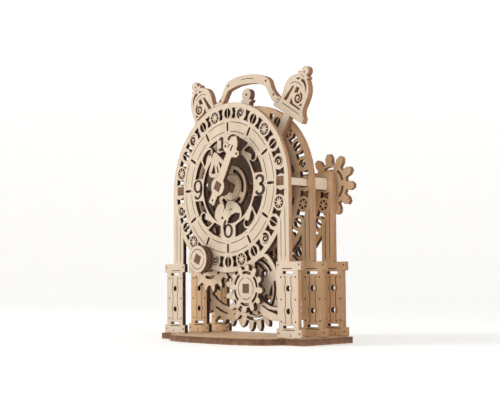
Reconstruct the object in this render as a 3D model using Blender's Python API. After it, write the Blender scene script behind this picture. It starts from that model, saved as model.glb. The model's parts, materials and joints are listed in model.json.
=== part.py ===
"""Laser-cut plywood clock kit: three dial plates on column feet, geared shafts, hands and bells.

Metres, +Z up, -Y is the front.  The origin is the middle of the base board's underside.
Flat parts are 2D curves filled both sides and extruded by half a ply, then stood upright.
Angles of dial and wheel features are clock angles: degrees clockwise from twelve.
"""
import math

import bmesh
import bpy
from mathutils import Matrix


def mm(value):
    return value * 0.001


# ---- sheet and fits -------------------------------------------------------------
PLY = mm(3.0)                    # sheet that the plates and wheels are cut from
TOP_PLY = mm(4.5)                # thicker sheet of the handle, bells and finial
GAP = mm(0.3)                    # air between parts that touch or rest on one another
RUN = mm(0.4)                    # radial play of a turning part
MESH_PLAY = mm(0.6)              # root clearance between meshing wheels
AXLE = mm(5.6)                   # side of the square axles
AXLE_FIT = mm(0.3)               # play of a square hole round an axle
BUSH_R = mm(5.6)                 # round bush that turns in a plate

# ---- depth of the layers, front face of each, behind the front plate's face -----------
MIDDLE_Y = mm(24.0)
REAR_Y = mm(45.0)
BELL_Y = mm(18.8)
NEAR_WHEEL_Y = mm(4.0)
FAR_WHEEL_Y = mm(28.0)
SMALL_GEAR_Y = mm(-4.0)
HOUR_Y = mm(-6.5)
MINUTE_Y = mm(-9.9)
REAR_GEAR_Y = mm(51.2)

# ---- base board ----------------------------------------------------------------
BASE_THICK = mm(4.5)
BASE_FRONT_Y = mm(-1.1)
BASE_REAR_Y = mm(48.7)
BOW_HALF_X = mm(56.0)
BOW_DEPTH = mm(22.0)
BOW_POWER = 2.5

# ---- rings of the dial, each width laid on the one before it, from the bore outwards ----
BORE_R = mm(27.0)
BORE_RING = mm(2.0)
FRET_TALL = mm(8.2)
FRET_RING = mm(3.9)
TICK_TALL = mm(6.4)
TICK_RING = mm(2.8)
BAND_TALL = mm(7.7)
RIM_WALL = mm(3.8)
FRET_IN = BORE_R + BORE_RING
FRET_OUT = FRET_IN + FRET_TALL
TICK_IN = FRET_OUT + FRET_RING
TICK_OUT = TICK_IN + TICK_TALL
BAND_IN = TICK_OUT + TICK_RING
BAND_OUT = BAND_IN + BAND_TALL
RIM_R = BAND_OUT + RIM_WALL      # edge of the round plates

# ---- plates and columns ----------------------------------------------------------
DIAL_Z = mm(106.7)
LEG_IN = mm(50.5)
CAP_IN = LEG_IN - mm(1.5)
CAP_WIDE = mm(23.6)
CAP_OUT = CAP_IN + CAP_WIDE
SHAFT_IN = CAP_IN + mm(2.4)
SHAFT_OUT = CAP_OUT - mm(2.7)
CAP_TOP = mm(51.9)
CAP_LOW = mm(45.7)
PLINTH_TOP = mm(6.1)
FOOT_TAB_X = (CAP_IN + CAP_OUT) / 2.0 + mm(0.2)
FOOT_TAB_HALF = mm(4.5)
REAR_TOP_Z = DIAL_Z + mm(9.6)
REAR_BAR_LOW_Z = DIAL_Z - mm(9.7)
REAR_OPEN_R = BAND_IN - mm(3.8)
COLUMN_HOLE_X = (SHAFT_IN + SHAFT_OUT) / 2.0 - mm(0.25)
COLUMN_HOLE_R = mm(2.0)
COLUMN_HOLE_ZS = (mm(33.5), mm(18.0))
COLUMN_SLOT_HALF = mm(4.9)
COLUMN_SLOT_TALL = mm(1.8)
COLUMN_SLOT_ZS = (mm(44.3), mm(7.4))
BASE_MARGIN = mm(2.6)            # base board beyond the columns' caps
BASE_HALF_X = CAP_OUT + BASE_MARGIN

# ---- ornament band of the rims -------------------------------------------------------
OVAL_HALF_W = mm(3.5)
OVAL_BAR = mm(0.4)
WAIST_HALF_W = mm(2.4)
SCROLL_R = mm(3.2)
SCROLL_GROOVE = mm(1.45)
FLOWER_R = mm(3.85)
FLOWER_SWEEP = 130.0             # half the angle that all the flower's holes take up
FRONT_DETAIL = (8, 12)           # rays of a flower and chords of a scroll, front plate
BACK_DETAIL = (6, 8)             # the same on the plates behind it

# ---- dial openings -----------------------------------------------------------------
TICK_WIDE = mm(1.3)
PAD_12_HALF = mm(11.5)
PAD_SIDE_HALF = mm(8.3)
PAD_6_HALF = mm(8.0)
BRACKET_HALF = mm(14.5)

# ---- arms that carry the lower axle -----------------------------------------------
ARM_BOSS_R = mm(9.5)
ARM_NECK_HALF = mm(5.0)
ARM_LOW_Z = mm(11.3)
ARM_HIGH_Z = mm(23.5)
ARC_BAND_OUT = mm(29.6)
ARC_BAND_IN = mm(26.4)

# ---- cross beams --------------------------------------------------------------------
BEAM_X = BAND_IN + mm(3.2)
BEAM_Z = DIAL_Z + mm(0.7)
BEAM_TALL = mm(5.4)
BEAM_TALL_REAR = mm(8.6)

# ---- axles ---------------------------------------------------------------------------
KNOB_X = mm(-24.5)
KNOB_Z = mm(55.0)
KNOB_BOSS_R = mm(9.6)            # the rim swells to this round the knob's bush
LOWER_X = mm(22.6)
LOWER_Z = mm(33.5)

KNOB_TURN = 25.0                 # how far the knob's square end stands turned
HAND_TURN = 29.7

# ---- wheels ----------------------------------------------------------------------------
FINE_TEETH = 15                  # wheels with more teeth have peaked ones
SPOKED_TEETH = 32
SPOKED_TIP = mm(50.4)
SPOKED_ROOT = mm(45.8)
SPOKED_PHASE = 193.6
PINION_TEETH = 6
KNOB_GEAR_TEETH = 16
KNOB_GEAR_TIP = mm(24.6)
KNOB_GEAR_ROOT = mm(19.6)
BIG_TEETH = 20
BIG_TIP = mm(30.5)
BIG_ROOT = mm(23.4)
BIG_PHASE = 6.6
SMALL_TEETH = 12
SMALL_TIP = mm(17.0)
SMALL_ROOT = mm(13.3)
SMALL_PHASE = 5.0
PETAL_TEETH = 11
PETAL_TIP = mm(22.5)
PETAL_ROOT = mm(15.6)
PETAL_PHASE = -3.4
PETAL_BORE = mm(3.6)
KNOB_R = mm(10.2)
CENTRE_DISC_R = mm(16.0)

# ---- bells, handle and finial ------------------------------------------------------------
TOP_LEAN = 2.8                   # the whole top sits a little askew, as pictured
ARCH_TOP = DIAL_Z + RIM_R
TOP_PIVOT_Z = ARCH_TOP + mm(1.5)
BELL_LEAN = 28.0
BELL_X = mm(44.6)
BELL_Z = ARCH_TOP - mm(4.6)
STEM_HALF = mm(3.4)
STEM_U = mm(0.6)                 # a bell's stem stands this far outward of its axis
STEM_LOW = mm(-31.0)
SOCKET_HALF_W = mm(5.6)
SOCKET_TOP = mm(-26.0)
SOCKET_Y = mm(16.6)
HANDLE_HOLE_R = mm(0.85)
HANDLE_HOLES = ((mm(-24.2), mm(21.4)), (mm(-15.9), mm(10.5)))
FINIAL_LOW_Z = ARCH_TOP - mm(22.5)
FINIAL_HOLE_Z = ARCH_TOP + mm(8.3)

# ---- hands --------------------------------------------------------------------------------
MINUTE_ANGLE = 29.7
HOUR_ANGLE = -15.7
HUB_R = mm(7.0)
TAIL_LONG = mm(14.2)
TAIL_HALF = mm(3.2)

CENTRE_Y = (BASE_FRONT_Y + BASE_REAR_Y) / 2.0
FLOOR_Z = BASE_THICK + GAP       # plate feet stand this high above the origin
FACET = 12                       # chords in a quarter of the rim

# Finish of each kind of piece: linear colour and roughness.
WOODS = {
    "birch_face": ((0.76, 0.60, 0.42), 0.62),
    "birch_plate": ((0.72, 0.54, 0.36), 0.64),
    "birch_wheel": ((0.70, 0.52, 0.34), 0.66),
    "birch_axle": ((0.48, 0.32, 0.20), 0.70),
}


def polar(x, z, radius, angle):
    """Point at a clock angle round x, z."""
    turn = math.radians(angle)
    return (x + radius * math.sin(turn), z + radius * math.cos(turn))


def arc(x, z, radius, start, stop, chords):
    """Points along a circular arc between two clock angles."""
    step = (stop - start) / chords
    return [polar(x, z, radius, start + step * k) for k in range(chords + 1)]


def circle(x, z, radius, chords):
    return arc(x, z, radius, 0.0, 360.0, chords)[:-1]


def box(x0, z0, x1, z1):
    return [(x0, z0), (x1, z0), (x1, z1), (x0, z1)]


def turned_box(x, z, half_u, half_v, angle):
    """Rectangle centred on x, z whose v side points along a clock angle."""
    turn = math.radians(angle)
    ux, uz = math.cos(turn), -math.sin(turn)
    vx, vz = math.sin(turn), math.cos(turn)
    corners = ((-1, -1), (1, -1), (1, 1), (-1, 1))
    return [(x + half_u * a * ux + half_v * b * vx, z + half_u * a * uz + half_v * b * vz)
            for a, b in corners]


def mirrored(points):
    return [(-x, z) for x, z in points]


def placed(points, x, z, angle):
    """Points given across and along a hand or bell, set at x, z and a clock angle."""
    turn = math.radians(angle)
    ux, uz = math.cos(turn), -math.sin(turn)
    vx, vz = math.sin(turn), math.cos(turn)
    return [(x + u * ux + v * vx, z + u * uz + v * vz) for u, v in points]


def band_slot(x, z, radius, width, start, stop, chords):
    """Closed outline of a slot that follows an arc."""
    outer = arc(x, z, radius + width / 2.0, start, stop, chords)
    inner = arc(x, z, radius - width / 2.0, stop, start, chords)
    return outer + inner


def spiral_slot(x, z, radius, width, start, turns, chords):
    """Slot that winds inward from a radius, thinning to a round eye."""
    centre = []
    for k in range(chords + 1):
        part = k / chords
        reach = radius * (1.0 - 0.78 * part)
        centre.append((reach, start + 360.0 * turns * part, width * (1.0 - 0.25 * part)))
    outer = [polar(x, z, r + w / 2.0, a) for r, a, w in centre]
    inner = [polar(x, z, max(r - w / 2.0, width * 0.12), a) for r, a, w in reversed(centre)]
    return outer + inner


def make_material(name):
    colour, rough = WOODS[name]
    material = bpy.data.materials.new(name)
    material.use_nodes = True
    shader = material.node_tree.nodes["Principled BSDF"]
    shader.inputs["Base Color"].default_value = (*colour, 1.0)
    shader.inputs["Roughness"].default_value = rough
    shader.inputs["Metallic"].default_value = 0.0
    return material


def clear_scene():
    for thing in list(bpy.data.objects):
        bpy.data.objects.remove(thing, do_unlink=True)


def new_collection(name):
    group = bpy.data.collections.new(name)
    bpy.context.scene.collection.children.link(group)
    return group


def flat_part(name, outlines, front_y, wood, axis=(0.0, 0.0), thick=None):
    """Plate cut from ply: first outline is the edge, the others are openings.

    Outlines are x, z of the assembled clock; the object's origin goes on axis x, z.
    """
    thick = PLY if thick is None else thick
    curve = bpy.data.curves.new(name + "_outline", "CURVE")
    curve.dimensions = "2D"
    curve.fill_mode = "BOTH"
    curve.extrude = thick / 2.0
    for points in outlines:
        spline = curve.splines.new("POLY")
        spline.points.add(len(points) - 1)
        spline.use_cyclic_u = True
        for slot, (x, z) in zip(spline.points, points):
            slot.co = (x - axis[0], z - axis[1], 0.0, 1.0)
    holder = bpy.data.objects.new(name + "_outline", curve)
    PARTS.objects.link(holder)
    graph = bpy.context.evaluated_depsgraph_get()
    mesh = bpy.data.meshes.new_from_object(holder.evaluated_get(graph))
    bpy.data.objects.remove(holder, do_unlink=True)
    mesh.name = name
    work = bmesh.new()
    work.from_mesh(mesh)
    bmesh.ops.remove_doubles(work, verts=work.verts, dist=0.00001)
    bmesh.ops.transform(work, matrix=Matrix.Rotation(math.radians(90.0), 4, "X"), verts=work.verts)
    bmesh.ops.recalc_face_normals(work, faces=work.faces)
    work.to_mesh(mesh)
    work.free()
    part = bpy.data.objects.new(name, mesh)
    PARTS.objects.link(part)
    part.location = (axis[0], front_y + thick / 2.0 - CENTRE_Y, axis[1] + FLOOR_Z)
    mesh.materials.clear()
    mesh.materials.append(MATERIALS[wood])
    mesh.shade_smooth()
    mesh.set_sharp_from_angle(angle=math.radians(30.0))
    return part


def stick(name, sections, wood, axis, sides=4, turn=0.0):
    """Straight axle along Y: sections are (y, radius) pairs, front to rear."""
    work = bmesh.new()
    rings = []
    for y, radius in sections:
        corners = [polar(0.0, 0.0, radius, turn + 360.0 * k / sides) for k in range(sides)]
        rings.append([work.verts.new((x, y - CENTRE_Y, z)) for x, z in corners])
    for near, far in zip(rings, rings[1:]):
        for k in range(sides):
            after = (k + 1) % sides
            work.faces.new((near[k], near[after], far[after], far[k]))
    work.faces.new(rings[0])
    work.faces.new(list(reversed(rings[-1])))
    bmesh.ops.recalc_face_normals(work, faces=work.faces)
    mesh = bpy.data.meshes.new(name)
    work.to_mesh(mesh)
    work.free()
    part = bpy.data.objects.new(name, mesh)
    PARTS.objects.link(part)
    part.location = (axis[0], 0.0, axis[1] + FLOOR_Z)
    mesh.materials.append(MATERIALS[wood])
    if sides > 8:
        mesh.shade_smooth()
        mesh.set_sharp_from_angle(angle=math.radians(40.0))
    return part


def square_axle(name, front_y, rear_y, axis, turn):
    half_diagonal = AXLE / math.sqrt(2.0)
    return stick(name, ((front_y, half_diagonal), (rear_y, half_diagonal)), "birch_axle", axis,
                 4, turn + 45.0)


def square_hole(axis, turn):
    half = AXLE / 2.0 + AXLE_FIT
    return turned_box(axis[0], axis[1], half, half, turn)


# ---- ornament of the rims ------------------------------------------------------------------

def oval_holes(angle):
    """Two half-moon holes left and right of a bar: one oval of the band."""
    middle = (BAND_IN + BAND_OUT) / 2.0
    half_v = (BAND_OUT - BAND_IN) / 2.0
    x, z = polar(0.0, DIAL_Z, middle, angle)
    moon = []
    for k in range(4):
        part = math.radians(-66.0 + 132.0 * k / 3.0)
        moon.append((OVAL_HALF_W * math.cos(part), half_v * math.sin(part)))
    moon = [(OVAL_BAR, moon[0][1])] + moon + [(OVAL_BAR, moon[-1][1])]
    return [placed(moon, x, z, angle), placed(mirrored(moon), x, z, angle)]


def waist_hole(angle):
    """Hourglass hole between two ornaments."""
    middle = (BAND_IN + BAND_OUT) / 2.0
    half_v = (BAND_OUT - BAND_IN) / 2.0 - mm(0.1)
    x, z = polar(0.0, DIAL_Z, middle, angle)
    shape = [(-WAIST_HALF_W, -half_v), (WAIST_HALF_W, -half_v), (WAIST_HALF_W * 0.5, 0.0),
             (WAIST_HALF_W, half_v), (-WAIST_HALF_W, half_v), (-WAIST_HALF_W * 0.5, 0.0)]
    return placed(shape, x, z, angle)


def scroll_hole(angle, chords):
    middle = (BAND_IN + BAND_OUT) / 2.0
    x, z = polar(0.0, DIAL_Z, middle, angle)
    return spiral_slot(x, z, SCROLL_R, SCROLL_GROOVE, angle + 190.0, 1.3, chords)


def flower_holes(angle, rays):
    """Tapered holes between the rays of a flower."""
    middle = (BAND_IN + BAND_OUT) / 2.0
    x, z = polar(0.0, DIAL_Z, middle, angle)
    sweep = FLOWER_SWEEP / rays
    holes = []
    for k in range(rays):
        ray = angle + 360.0 / rays * (k + 0.5)
        root = polar(x, z, FLOWER_R * 0.42, ray)
        holes.append([root, polar(x, z, FLOWER_R, ray - sweep), polar(x, z, FLOWER_R, ray + sweep)])
    return holes


def band_holes(skip, detail, lower_half=False):
    """Every hole of the ornament band, leaving out those near the clock angles in skip."""
    holes = []

    def wanted(angle):
        if lower_half and not 86.0 < angle % 360.0 < 274.0:
            return False
        return all(abs((angle - centre + 180.0) % 360.0 - 180.0) > reach for centre, reach in skip)

    for step in range(12):
        angle = 30.0 * step
        if angle not in (90.0, 270.0) and wanted(angle):
            holes += oval_holes(angle)
        if wanted(angle + 15.0):
            if step % 2:
                holes += flower_holes(angle + 15.0, detail[0])
            else:
                holes.append(scroll_hole(angle + 15.0, detail[1]))
        for offset in (7.5, 22.5):
            if wanted(angle + offset):
                holes.append(waist_hole(angle + offset))
    half_x = PLY + GAP * 1.5
    half_z = BEAM_TALL / 2.0 + GAP
    for side in (-1.0, 1.0):
        x = side * BEAM_X
        holes.append(box(x - half_x, BEAM_Z - half_z, x + half_x, BEAM_Z + half_z))
    return holes


# ---- plate outlines ---------------------------------------------------------------------------

def foot_outline():
    """Outer side, tab and inner side of the right foot, top to inner cap."""
    tab_low = -BASE_THICK - GAP + mm(0.3)
    return [
        (RIM_R, CAP_TOP), (CAP_OUT, CAP_TOP), (CAP_OUT, CAP_LOW), (SHAFT_OUT, CAP_LOW),
        (SHAFT_OUT, PLINTH_TOP), (CAP_OUT, PLINTH_TOP), (CAP_OUT, 0.0),
        (FOOT_TAB_X + FOOT_TAB_HALF, 0.0), (FOOT_TAB_X + FOOT_TAB_HALF, tab_low),
        (FOOT_TAB_X - FOOT_TAB_HALF, tab_low), (FOOT_TAB_X - FOOT_TAB_HALF, 0.0),
        (CAP_IN, 0.0), (CAP_IN, PLINTH_TOP), (SHAFT_IN, PLINTH_TOP),
    ]


def cap_inner():
    return [(SHAFT_IN, CAP_LOW), (CAP_IN, CAP_LOW), (CAP_IN, CAP_TOP), (LEG_IN, CAP_TOP)]


def rim_angle(x):
    """Clock angle on the lower rim edge at a given x."""
    return 180.0 - math.degrees(math.asin(x / RIM_R))


def low_rim(start, stop, chords):
    """Lower rim edge between two clock angles, swelling round the knob's bush."""
    reach = math.hypot(KNOB_X, KNOB_Z - DIAL_Z)
    if RIM_R >= reach + KNOB_BOSS_R:
        return arc(0.0, DIAL_Z, RIM_R, start, stop, 2 * chords)
    excess = RIM_R ** 2 - reach ** 2 - KNOB_BOSS_R ** 2
    on_boss = math.degrees(math.acos(excess / (2.0 * reach * KNOB_BOSS_R)))
    share = (excess + 2.0 * reach ** 2) / (2.0 * RIM_R * reach)
    on_rim = math.degrees(math.acos(share))
    middle = knob_clock_angle()
    run = arc(0.0, DIAL_Z, RIM_R, start, middle - on_rim, chords)[:-1]
    run += arc(KNOB_X, KNOB_Z, KNOB_BOSS_R, middle - on_boss, middle + on_boss, 8)
    return run + arc(0.0, DIAL_Z, RIM_R, middle + on_rim, stop, chords)[1:]


def arms_edge():
    """Lower edge of the arms: from the column round the boss and up to the rim."""
    run = [(SHAFT_IN, ARM_LOW_Z), (SHAFT_IN - mm(8.0), ARM_LOW_Z + mm(0.3)),
           (SHAFT_IN - mm(15.0), ARM_LOW_Z + mm(2.6)), (LOWER_X + mm(6.0), LOWER_Z - mm(12.6))]
    run += arc(LOWER_X, LOWER_Z, ARM_BOSS_R, 175.0, 322.0, 8)
    neck = LOWER_X - ARM_NECK_HALF
    run += [(neck, LOWER_Z + mm(8.6))]
    run += arc(0.0, DIAL_Z, RIM_R, rim_angle(neck), 180.0, 4)
    return run


def rim_meets(radius):
    """Where the rim crosses a circle round the lower axle: clock angles round dial and axle."""
    gap = math.hypot(LOWER_X, DIAL_Z - LOWER_Z)
    line = math.degrees(math.atan2(LOWER_X, LOWER_Z - DIAL_Z))
    at_dial = (RIM_R ** 2 + gap ** 2 - radius ** 2) / (2.0 * RIM_R * gap)
    at_axle = (radius ** 2 + gap ** 2 - RIM_R ** 2) / (2.0 * radius * gap)
    return (line - math.degrees(math.acos(at_dial)),
            line - 180.0 + math.degrees(math.acos(at_axle)))


def arms_upper_opening():
    """Opening above the arc band: between rim, leg, cap and band."""
    on_rim, on_band = rim_meets(ARC_BAND_OUT)
    top = arc(0.0, DIAL_Z, RIM_R, rim_angle(LEG_IN), on_rim + 1.1241934, 3)
    band = arc(LOWER_X, LOWER_Z, ARC_BAND_OUT, on_band + 4.3344137, 66.0, 5)
    return top + band + [(CAP_IN, LOWER_Z + ARC_BAND_OUT * 0.40), (CAP_IN, CAP_TOP), (LEG_IN, CAP_TOP)]


def arms_main_opening():
    """Opening between the arc band, the column, the lower arm and the boss."""
    on_rim, on_band = rim_meets(ARC_BAND_IN)
    rim = arc(0.0, DIAL_Z, RIM_R, on_rim + 3.9337177, rim_angle(LOWER_X + ARM_NECK_HALF), 2)
    boss = arc(LOWER_X, LOWER_Z, ARM_BOSS_R, 35.0, 112.0, 5)
    lower = [(LOWER_X + mm(13.5), LOWER_Z - mm(9.0)), (SHAFT_IN - mm(8.0), ARM_HIGH_Z - mm(2.2)),
             (SHAFT_IN - mm(1.2), ARM_HIGH_Z - mm(2.9))]
    band = arc(LOWER_X, LOWER_Z, ARC_BAND_IN, 84.0, on_band + 2.9267588, 6)
    return rim + [(LOWER_X + ARM_NECK_HALF, LOWER_Z + mm(8.6))] + boss + lower + band


def arm_slot():
    """Long tapering slot in the lower arm."""
    return [(LOWER_X + mm(12.5), LOWER_Z - mm(12.2)), (SHAFT_IN - mm(10.0), ARM_LOW_Z + mm(6.9)),
            (SHAFT_IN - mm(1.4), ARM_LOW_Z + mm(4.4)), (SHAFT_IN - mm(1.4), ARM_LOW_Z + mm(6.9)),
            (SHAFT_IN - mm(10.0), ARM_LOW_Z + mm(8.0)), (LOWER_X + mm(12.9), LOWER_Z - mm(11.4))]


def full_outline():
    """Edge of the front and middle plates, with arms on the right only."""
    right = arc(0.0, DIAL_Z, RIM_R, 0.0, 90.0, FACET) + foot_outline()
    left_foot = mirrored(foot_outline() + cap_inner())
    left_foot.reverse()
    rim_low = low_rim(180.0, 360.0 - rim_angle(LEG_IN), 4)[1:]
    left_rim = arc(0.0, DIAL_Z, RIM_R, 270.0, 360.0, FACET)[:-1]
    return right + arms_edge() + rim_low + left_foot + left_rim


def rear_outline():
    """Edge of the rear plate: lower rim, legs and columns under a flat top."""
    half_top = math.sqrt(RIM_R ** 2 - (REAR_TOP_Z - DIAL_Z) ** 2)
    top_angle = math.degrees(math.atan2(half_top, REAR_TOP_Z - DIAL_Z))
    right = arc(0.0, DIAL_Z, RIM_R, top_angle, 90.0, 2) + foot_outline() + cap_inner()
    low = low_rim(rim_angle(LEG_IN), 360.0 - rim_angle(LEG_IN), 7)
    left = mirrored(right)
    left.reverse()
    return right + low + left


def column_holes():
    holes = []
    for side in (-1.0, 1.0):
        for z in COLUMN_HOLE_ZS:
            holes.append(circle(side * COLUMN_HOLE_X, z, COLUMN_HOLE_R, 8))
        for z in COLUMN_SLOT_ZS:
            x = side * COLUMN_HOLE_X
            holes.append(box(x - COLUMN_SLOT_HALF, z - COLUMN_SLOT_TALL / 2.0,
                             x + COLUMN_SLOT_HALF, z + COLUMN_SLOT_TALL / 2.0))
    return holes


def bearing(axis):
    return circle(axis[0], axis[1], BUSH_R + RUN, 16)


def tick_slots():
    middle = (TICK_IN + TICK_OUT) / 2.0
    slots = []
    for hour in range(12):
        x, z = polar(0.0, DIAL_Z, middle, 30.0 * hour)
        slots.append(turned_box(x, z, TICK_WIDE / 2.0, (TICK_OUT - TICK_IN) / 2.0, 30.0 * hour))
    return slots


def pad_angle(half, radius):
    return math.degrees(math.asin(half / radius))


def fret_quarter(turn, start_half, stop_half):
    """Three openings of one quarter of the fret, from the pad at a clock angle to the next.

    A comma runs clockwise, tail first, between a wedge at its tail and one past its ball.
    """
    first_out = pad_angle(start_half, FRET_OUT)
    first_in = pad_angle(start_half, FRET_IN)
    last_out = 90.0 - pad_angle(stop_half, FRET_OUT)
    last_in = 90.0 - pad_angle(stop_half, FRET_IN)
    out, low = FRET_OUT, FRET_IN
    wedge = [(out, first_out), (out, (first_out + 35.6) / 2.0), (out, 35.6), (out - mm(2.8), 34.4),
             (low + mm(2.0), 31.6), (low, 30.6), (low, first_in)]
    comma = [(low + mm(1.9), 34.1), (out - mm(1.7), 38.2), (out - mm(0.7), 42.4),
             (out - mm(0.5), 48.0), (out - mm(0.8), 53.5), (out - mm(2.6), 57.3),
             (low + mm(3.4), 57.3), (low + mm(1.9), 54.4), (low + mm(2.6), 51.6),
             (low + mm(4.2), 50.4), (low + mm(4.0), 47.0), (low + mm(2.9), 42.8),
             (low + mm(1.8), 38.2)]
    after = [(out, 56.6), (out, (56.6 + last_out) / 2.0), (out, last_out), (low, last_in),
             (low, 53.0), (low + mm(0.9), 53.4), (low + mm(1.9), 57.6), (low + mm(3.4), 59.6),
             (out - mm(2.2), 59.6)]
    return [[polar(0.0, DIAL_Z, reach, turn + angle) for reach, angle in points]
            for points in (wedge, comma, after)]


def fret_holes():
    """Openings of the dial between the four numeral pads, the same from pad to pad."""
    pads = (PAD_12_HALF, PAD_SIDE_HALF, PAD_6_HALF, PAD_SIDE_HALF, PAD_12_HALF)
    holes = []
    for quarter in range(4):
        holes += fret_quarter(90.0 * quarter, pads[quarter], pads[quarter + 1])
    return holes


def dial_points(pairs):
    """Points of the bracket in millimetres, 27 above the lower edge of the bore."""
    drop = mm(27.0) - BORE_R
    return [(mm(x), DIAL_Z + drop + mm(z)) for x, z in pairs]


def bore_outline():
    """Centre opening of the dial with the two-lobed bracket standing in it from below."""
    half_angle = pad_angle(BRACKET_HALF - mm(3.0), BORE_R)
    edge = arc(0.0, DIAL_Z, BORE_R, -180.0 + half_angle, 180.0 - half_angle, 34)
    right_lobe = [(14.5, -22.4), (14.6, -18.6), (13.0, -15.0), (9.8, -12.2), (5.4, -10.2),
                  (1.0, -9.8), (-1.6, -11.6), (-2.6, -15.0)]
    left_lobe = [(-3.5, -15.6), (-4.0, -13.0), (-5.4, -11.0), (-8.2, -10.8), (-11.6, -13.0),
                 (-13.9, -16.8), (-14.5, -21.2)]
    return edge + dial_points(right_lobe + left_lobe)


def bracket_holes():
    """Crescent in the bracket's right lobe and a small eye in its left one."""
    crescent = dial_points([(-0.6, -26.2), (0.8, -22.6), (3.4, -20.4), (8.4, -18.9), (12.8, -19.7),
                            (12.4, -21.6), (11.6, -23.6), (8.8, -25.2), (4.6, -26.3)])
    eye_x, eye_z = dial_points([(-6.0, -22.0)])[0]
    return [crescent, circle(eye_x, eye_z, mm(1.0), 8)]


# ---- structure ---------------------------------------------------------------------------------

def base_plate():
    """Board with a bowed front step and slots for the plates' foot tabs."""
    bow = []
    for k in range(17):
        turn = math.pi * k / 16.0
        c, s = math.cos(turn), math.sin(turn)
        x = BOW_HALF_X * math.copysign(abs(c) ** (2.0 / BOW_POWER), c)
        bow.append((x, BASE_FRONT_Y - BOW_DEPTH * abs(s) ** (2.0 / BOW_POWER)))
    edge = [(BASE_HALF_X, BASE_REAR_Y), (BASE_HALF_X, BASE_FRONT_Y)] + bow
    edge += [(-BASE_HALF_X, BASE_FRONT_Y), (-BASE_HALF_X, BASE_REAR_Y)]
    outlines = [edge]
    half = FOOT_TAB_HALF + GAP
    for front in (0.0, MIDDLE_Y, REAR_Y):
        for side in (-1.0, 1.0):
            x = side * FOOT_TAB_X
            outlines.append(box(x - half, front - GAP, x + half, front + PLY + GAP))
    part = flat_part("base_plate", outlines, 0.0, "birch_plate", thick=BASE_THICK)
    part.data.transform(Matrix.Rotation(math.radians(-90.0), 4, "X"))
    part.location = (0.0, -CENTRE_Y, BASE_THICK / 2.0)
    return part


def front_plate():
    skip = ((knob_clock_angle(), 11.5),)
    outlines = [full_outline()] + band_holes(skip, FRONT_DETAIL)
    outlines += [arms_upper_opening(), arms_main_opening(), arm_slot()]
    outlines += column_holes() + tick_slots() + fret_holes() + [bore_outline()] + bracket_holes()
    outlines += [bearing((KNOB_X, KNOB_Z)), bearing((LOWER_X, LOWER_Z))]
    return flat_part("front_plate", outlines, 0.0, "birch_face")


def knob_clock_angle():
    return math.degrees(math.atan2(KNOB_X, KNOB_Z - DIAL_Z)) % 360.0


def middle_plate():
    skip = ((knob_clock_angle(), 11.5),)
    outlines = [full_outline()] + band_holes(skip, BACK_DETAIL)
    outlines += [arms_upper_opening(), arms_main_opening(), arm_slot()] + column_holes()
    for step in range(12):
        outlines.append(band_slot(0.0, DIAL_Z, (TICK_IN + TICK_OUT) / 2.0, mm(1.6), 30.0 * step + 11.5,
                                  30.0 * step + 18.5, 1))
    outlines += [bearing((KNOB_X, KNOB_Z)), bearing((LOWER_X, LOWER_Z)), bearing((0.0, DIAL_Z))]
    return flat_part("middle_plate", outlines, MIDDLE_Y, "birch_plate")


def rear_plate():
    skip = ((knob_clock_angle(), 11.5), (90.0, 5.0), (270.0, 5.0))
    outlines = [rear_outline()] + band_holes(skip, BACK_DETAIL, True) + column_holes()
    low = math.degrees(math.acos((REAR_BAR_LOW_Z - DIAL_Z) / REAR_OPEN_R))
    outlines.append(arc(0.0, DIAL_Z, REAR_OPEN_R, low, 360.0 - low, 24))
    outlines += [bearing((KNOB_X, KNOB_Z)), bearing((0.0, DIAL_Z))]
    return flat_part("rear_plate", outlines, REAR_Y, "birch_plate")


def beam_plies():
    """Each cross beam is two plies side by side, taller behind the middle plate."""
    low, high = BEAM_Z - BEAM_TALL / 2.0, BEAM_Z + BEAM_TALL / 2.0
    low_rear, high_rear = BEAM_Z - BEAM_TALL_REAR / 2.0, BEAM_Z + BEAM_TALL_REAR / 2.0
    step = MIDDLE_Y + PLY + GAP
    stop = REAR_Y - GAP
    outline = [(0.0, low), (step, low), (step, low_rear), (stop, low_rear), (stop, low),
               (REAR_Y + PLY, low), (REAR_Y + PLY, high), (stop, high), (stop, high_rear),
               (step, high_rear), (step, high), (0.0, high)]
    made = []
    for word, side in (("left", -1.0), ("right", 1.0)):
        for layer, shift in (("inner", -0.5), ("outer", 0.5)):
            part = flat_part(word + "_beam_" + layer, [outline], 0.0, "birch_plate")
            part.data.transform(Matrix.Rotation(math.radians(90.0), 4, "Z"))
            x = side * (BEAM_X + shift * (PLY + GAP))
            part.location = (x, -CENTRE_Y, FLOOR_Z)
            made.append(part)
    return made


# ---- top: handle, bells and finial -----------------------------------------------------------

def lean_top(points):
    """Tilts points of the handle and bells about the top's middle."""
    return placed([(x, z - TOP_PIVOT_Z) for x, z in points], 0.0, TOP_PIVOT_Z, TOP_LEAN)


def bell_frame(points, side):
    """Bell points (across, along its axis) to the clock, leaning outward on either side."""
    right = placed(points, BELL_X, BELL_Z, BELL_LEAN)
    return lean_top(right if side > 0.0 else mirrored(right))


def bell_points(pairs):
    """Bell outline points given in millimetres across and along its axis."""
    return [(mm(u), mm(v)) for u, v in pairs]


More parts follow.
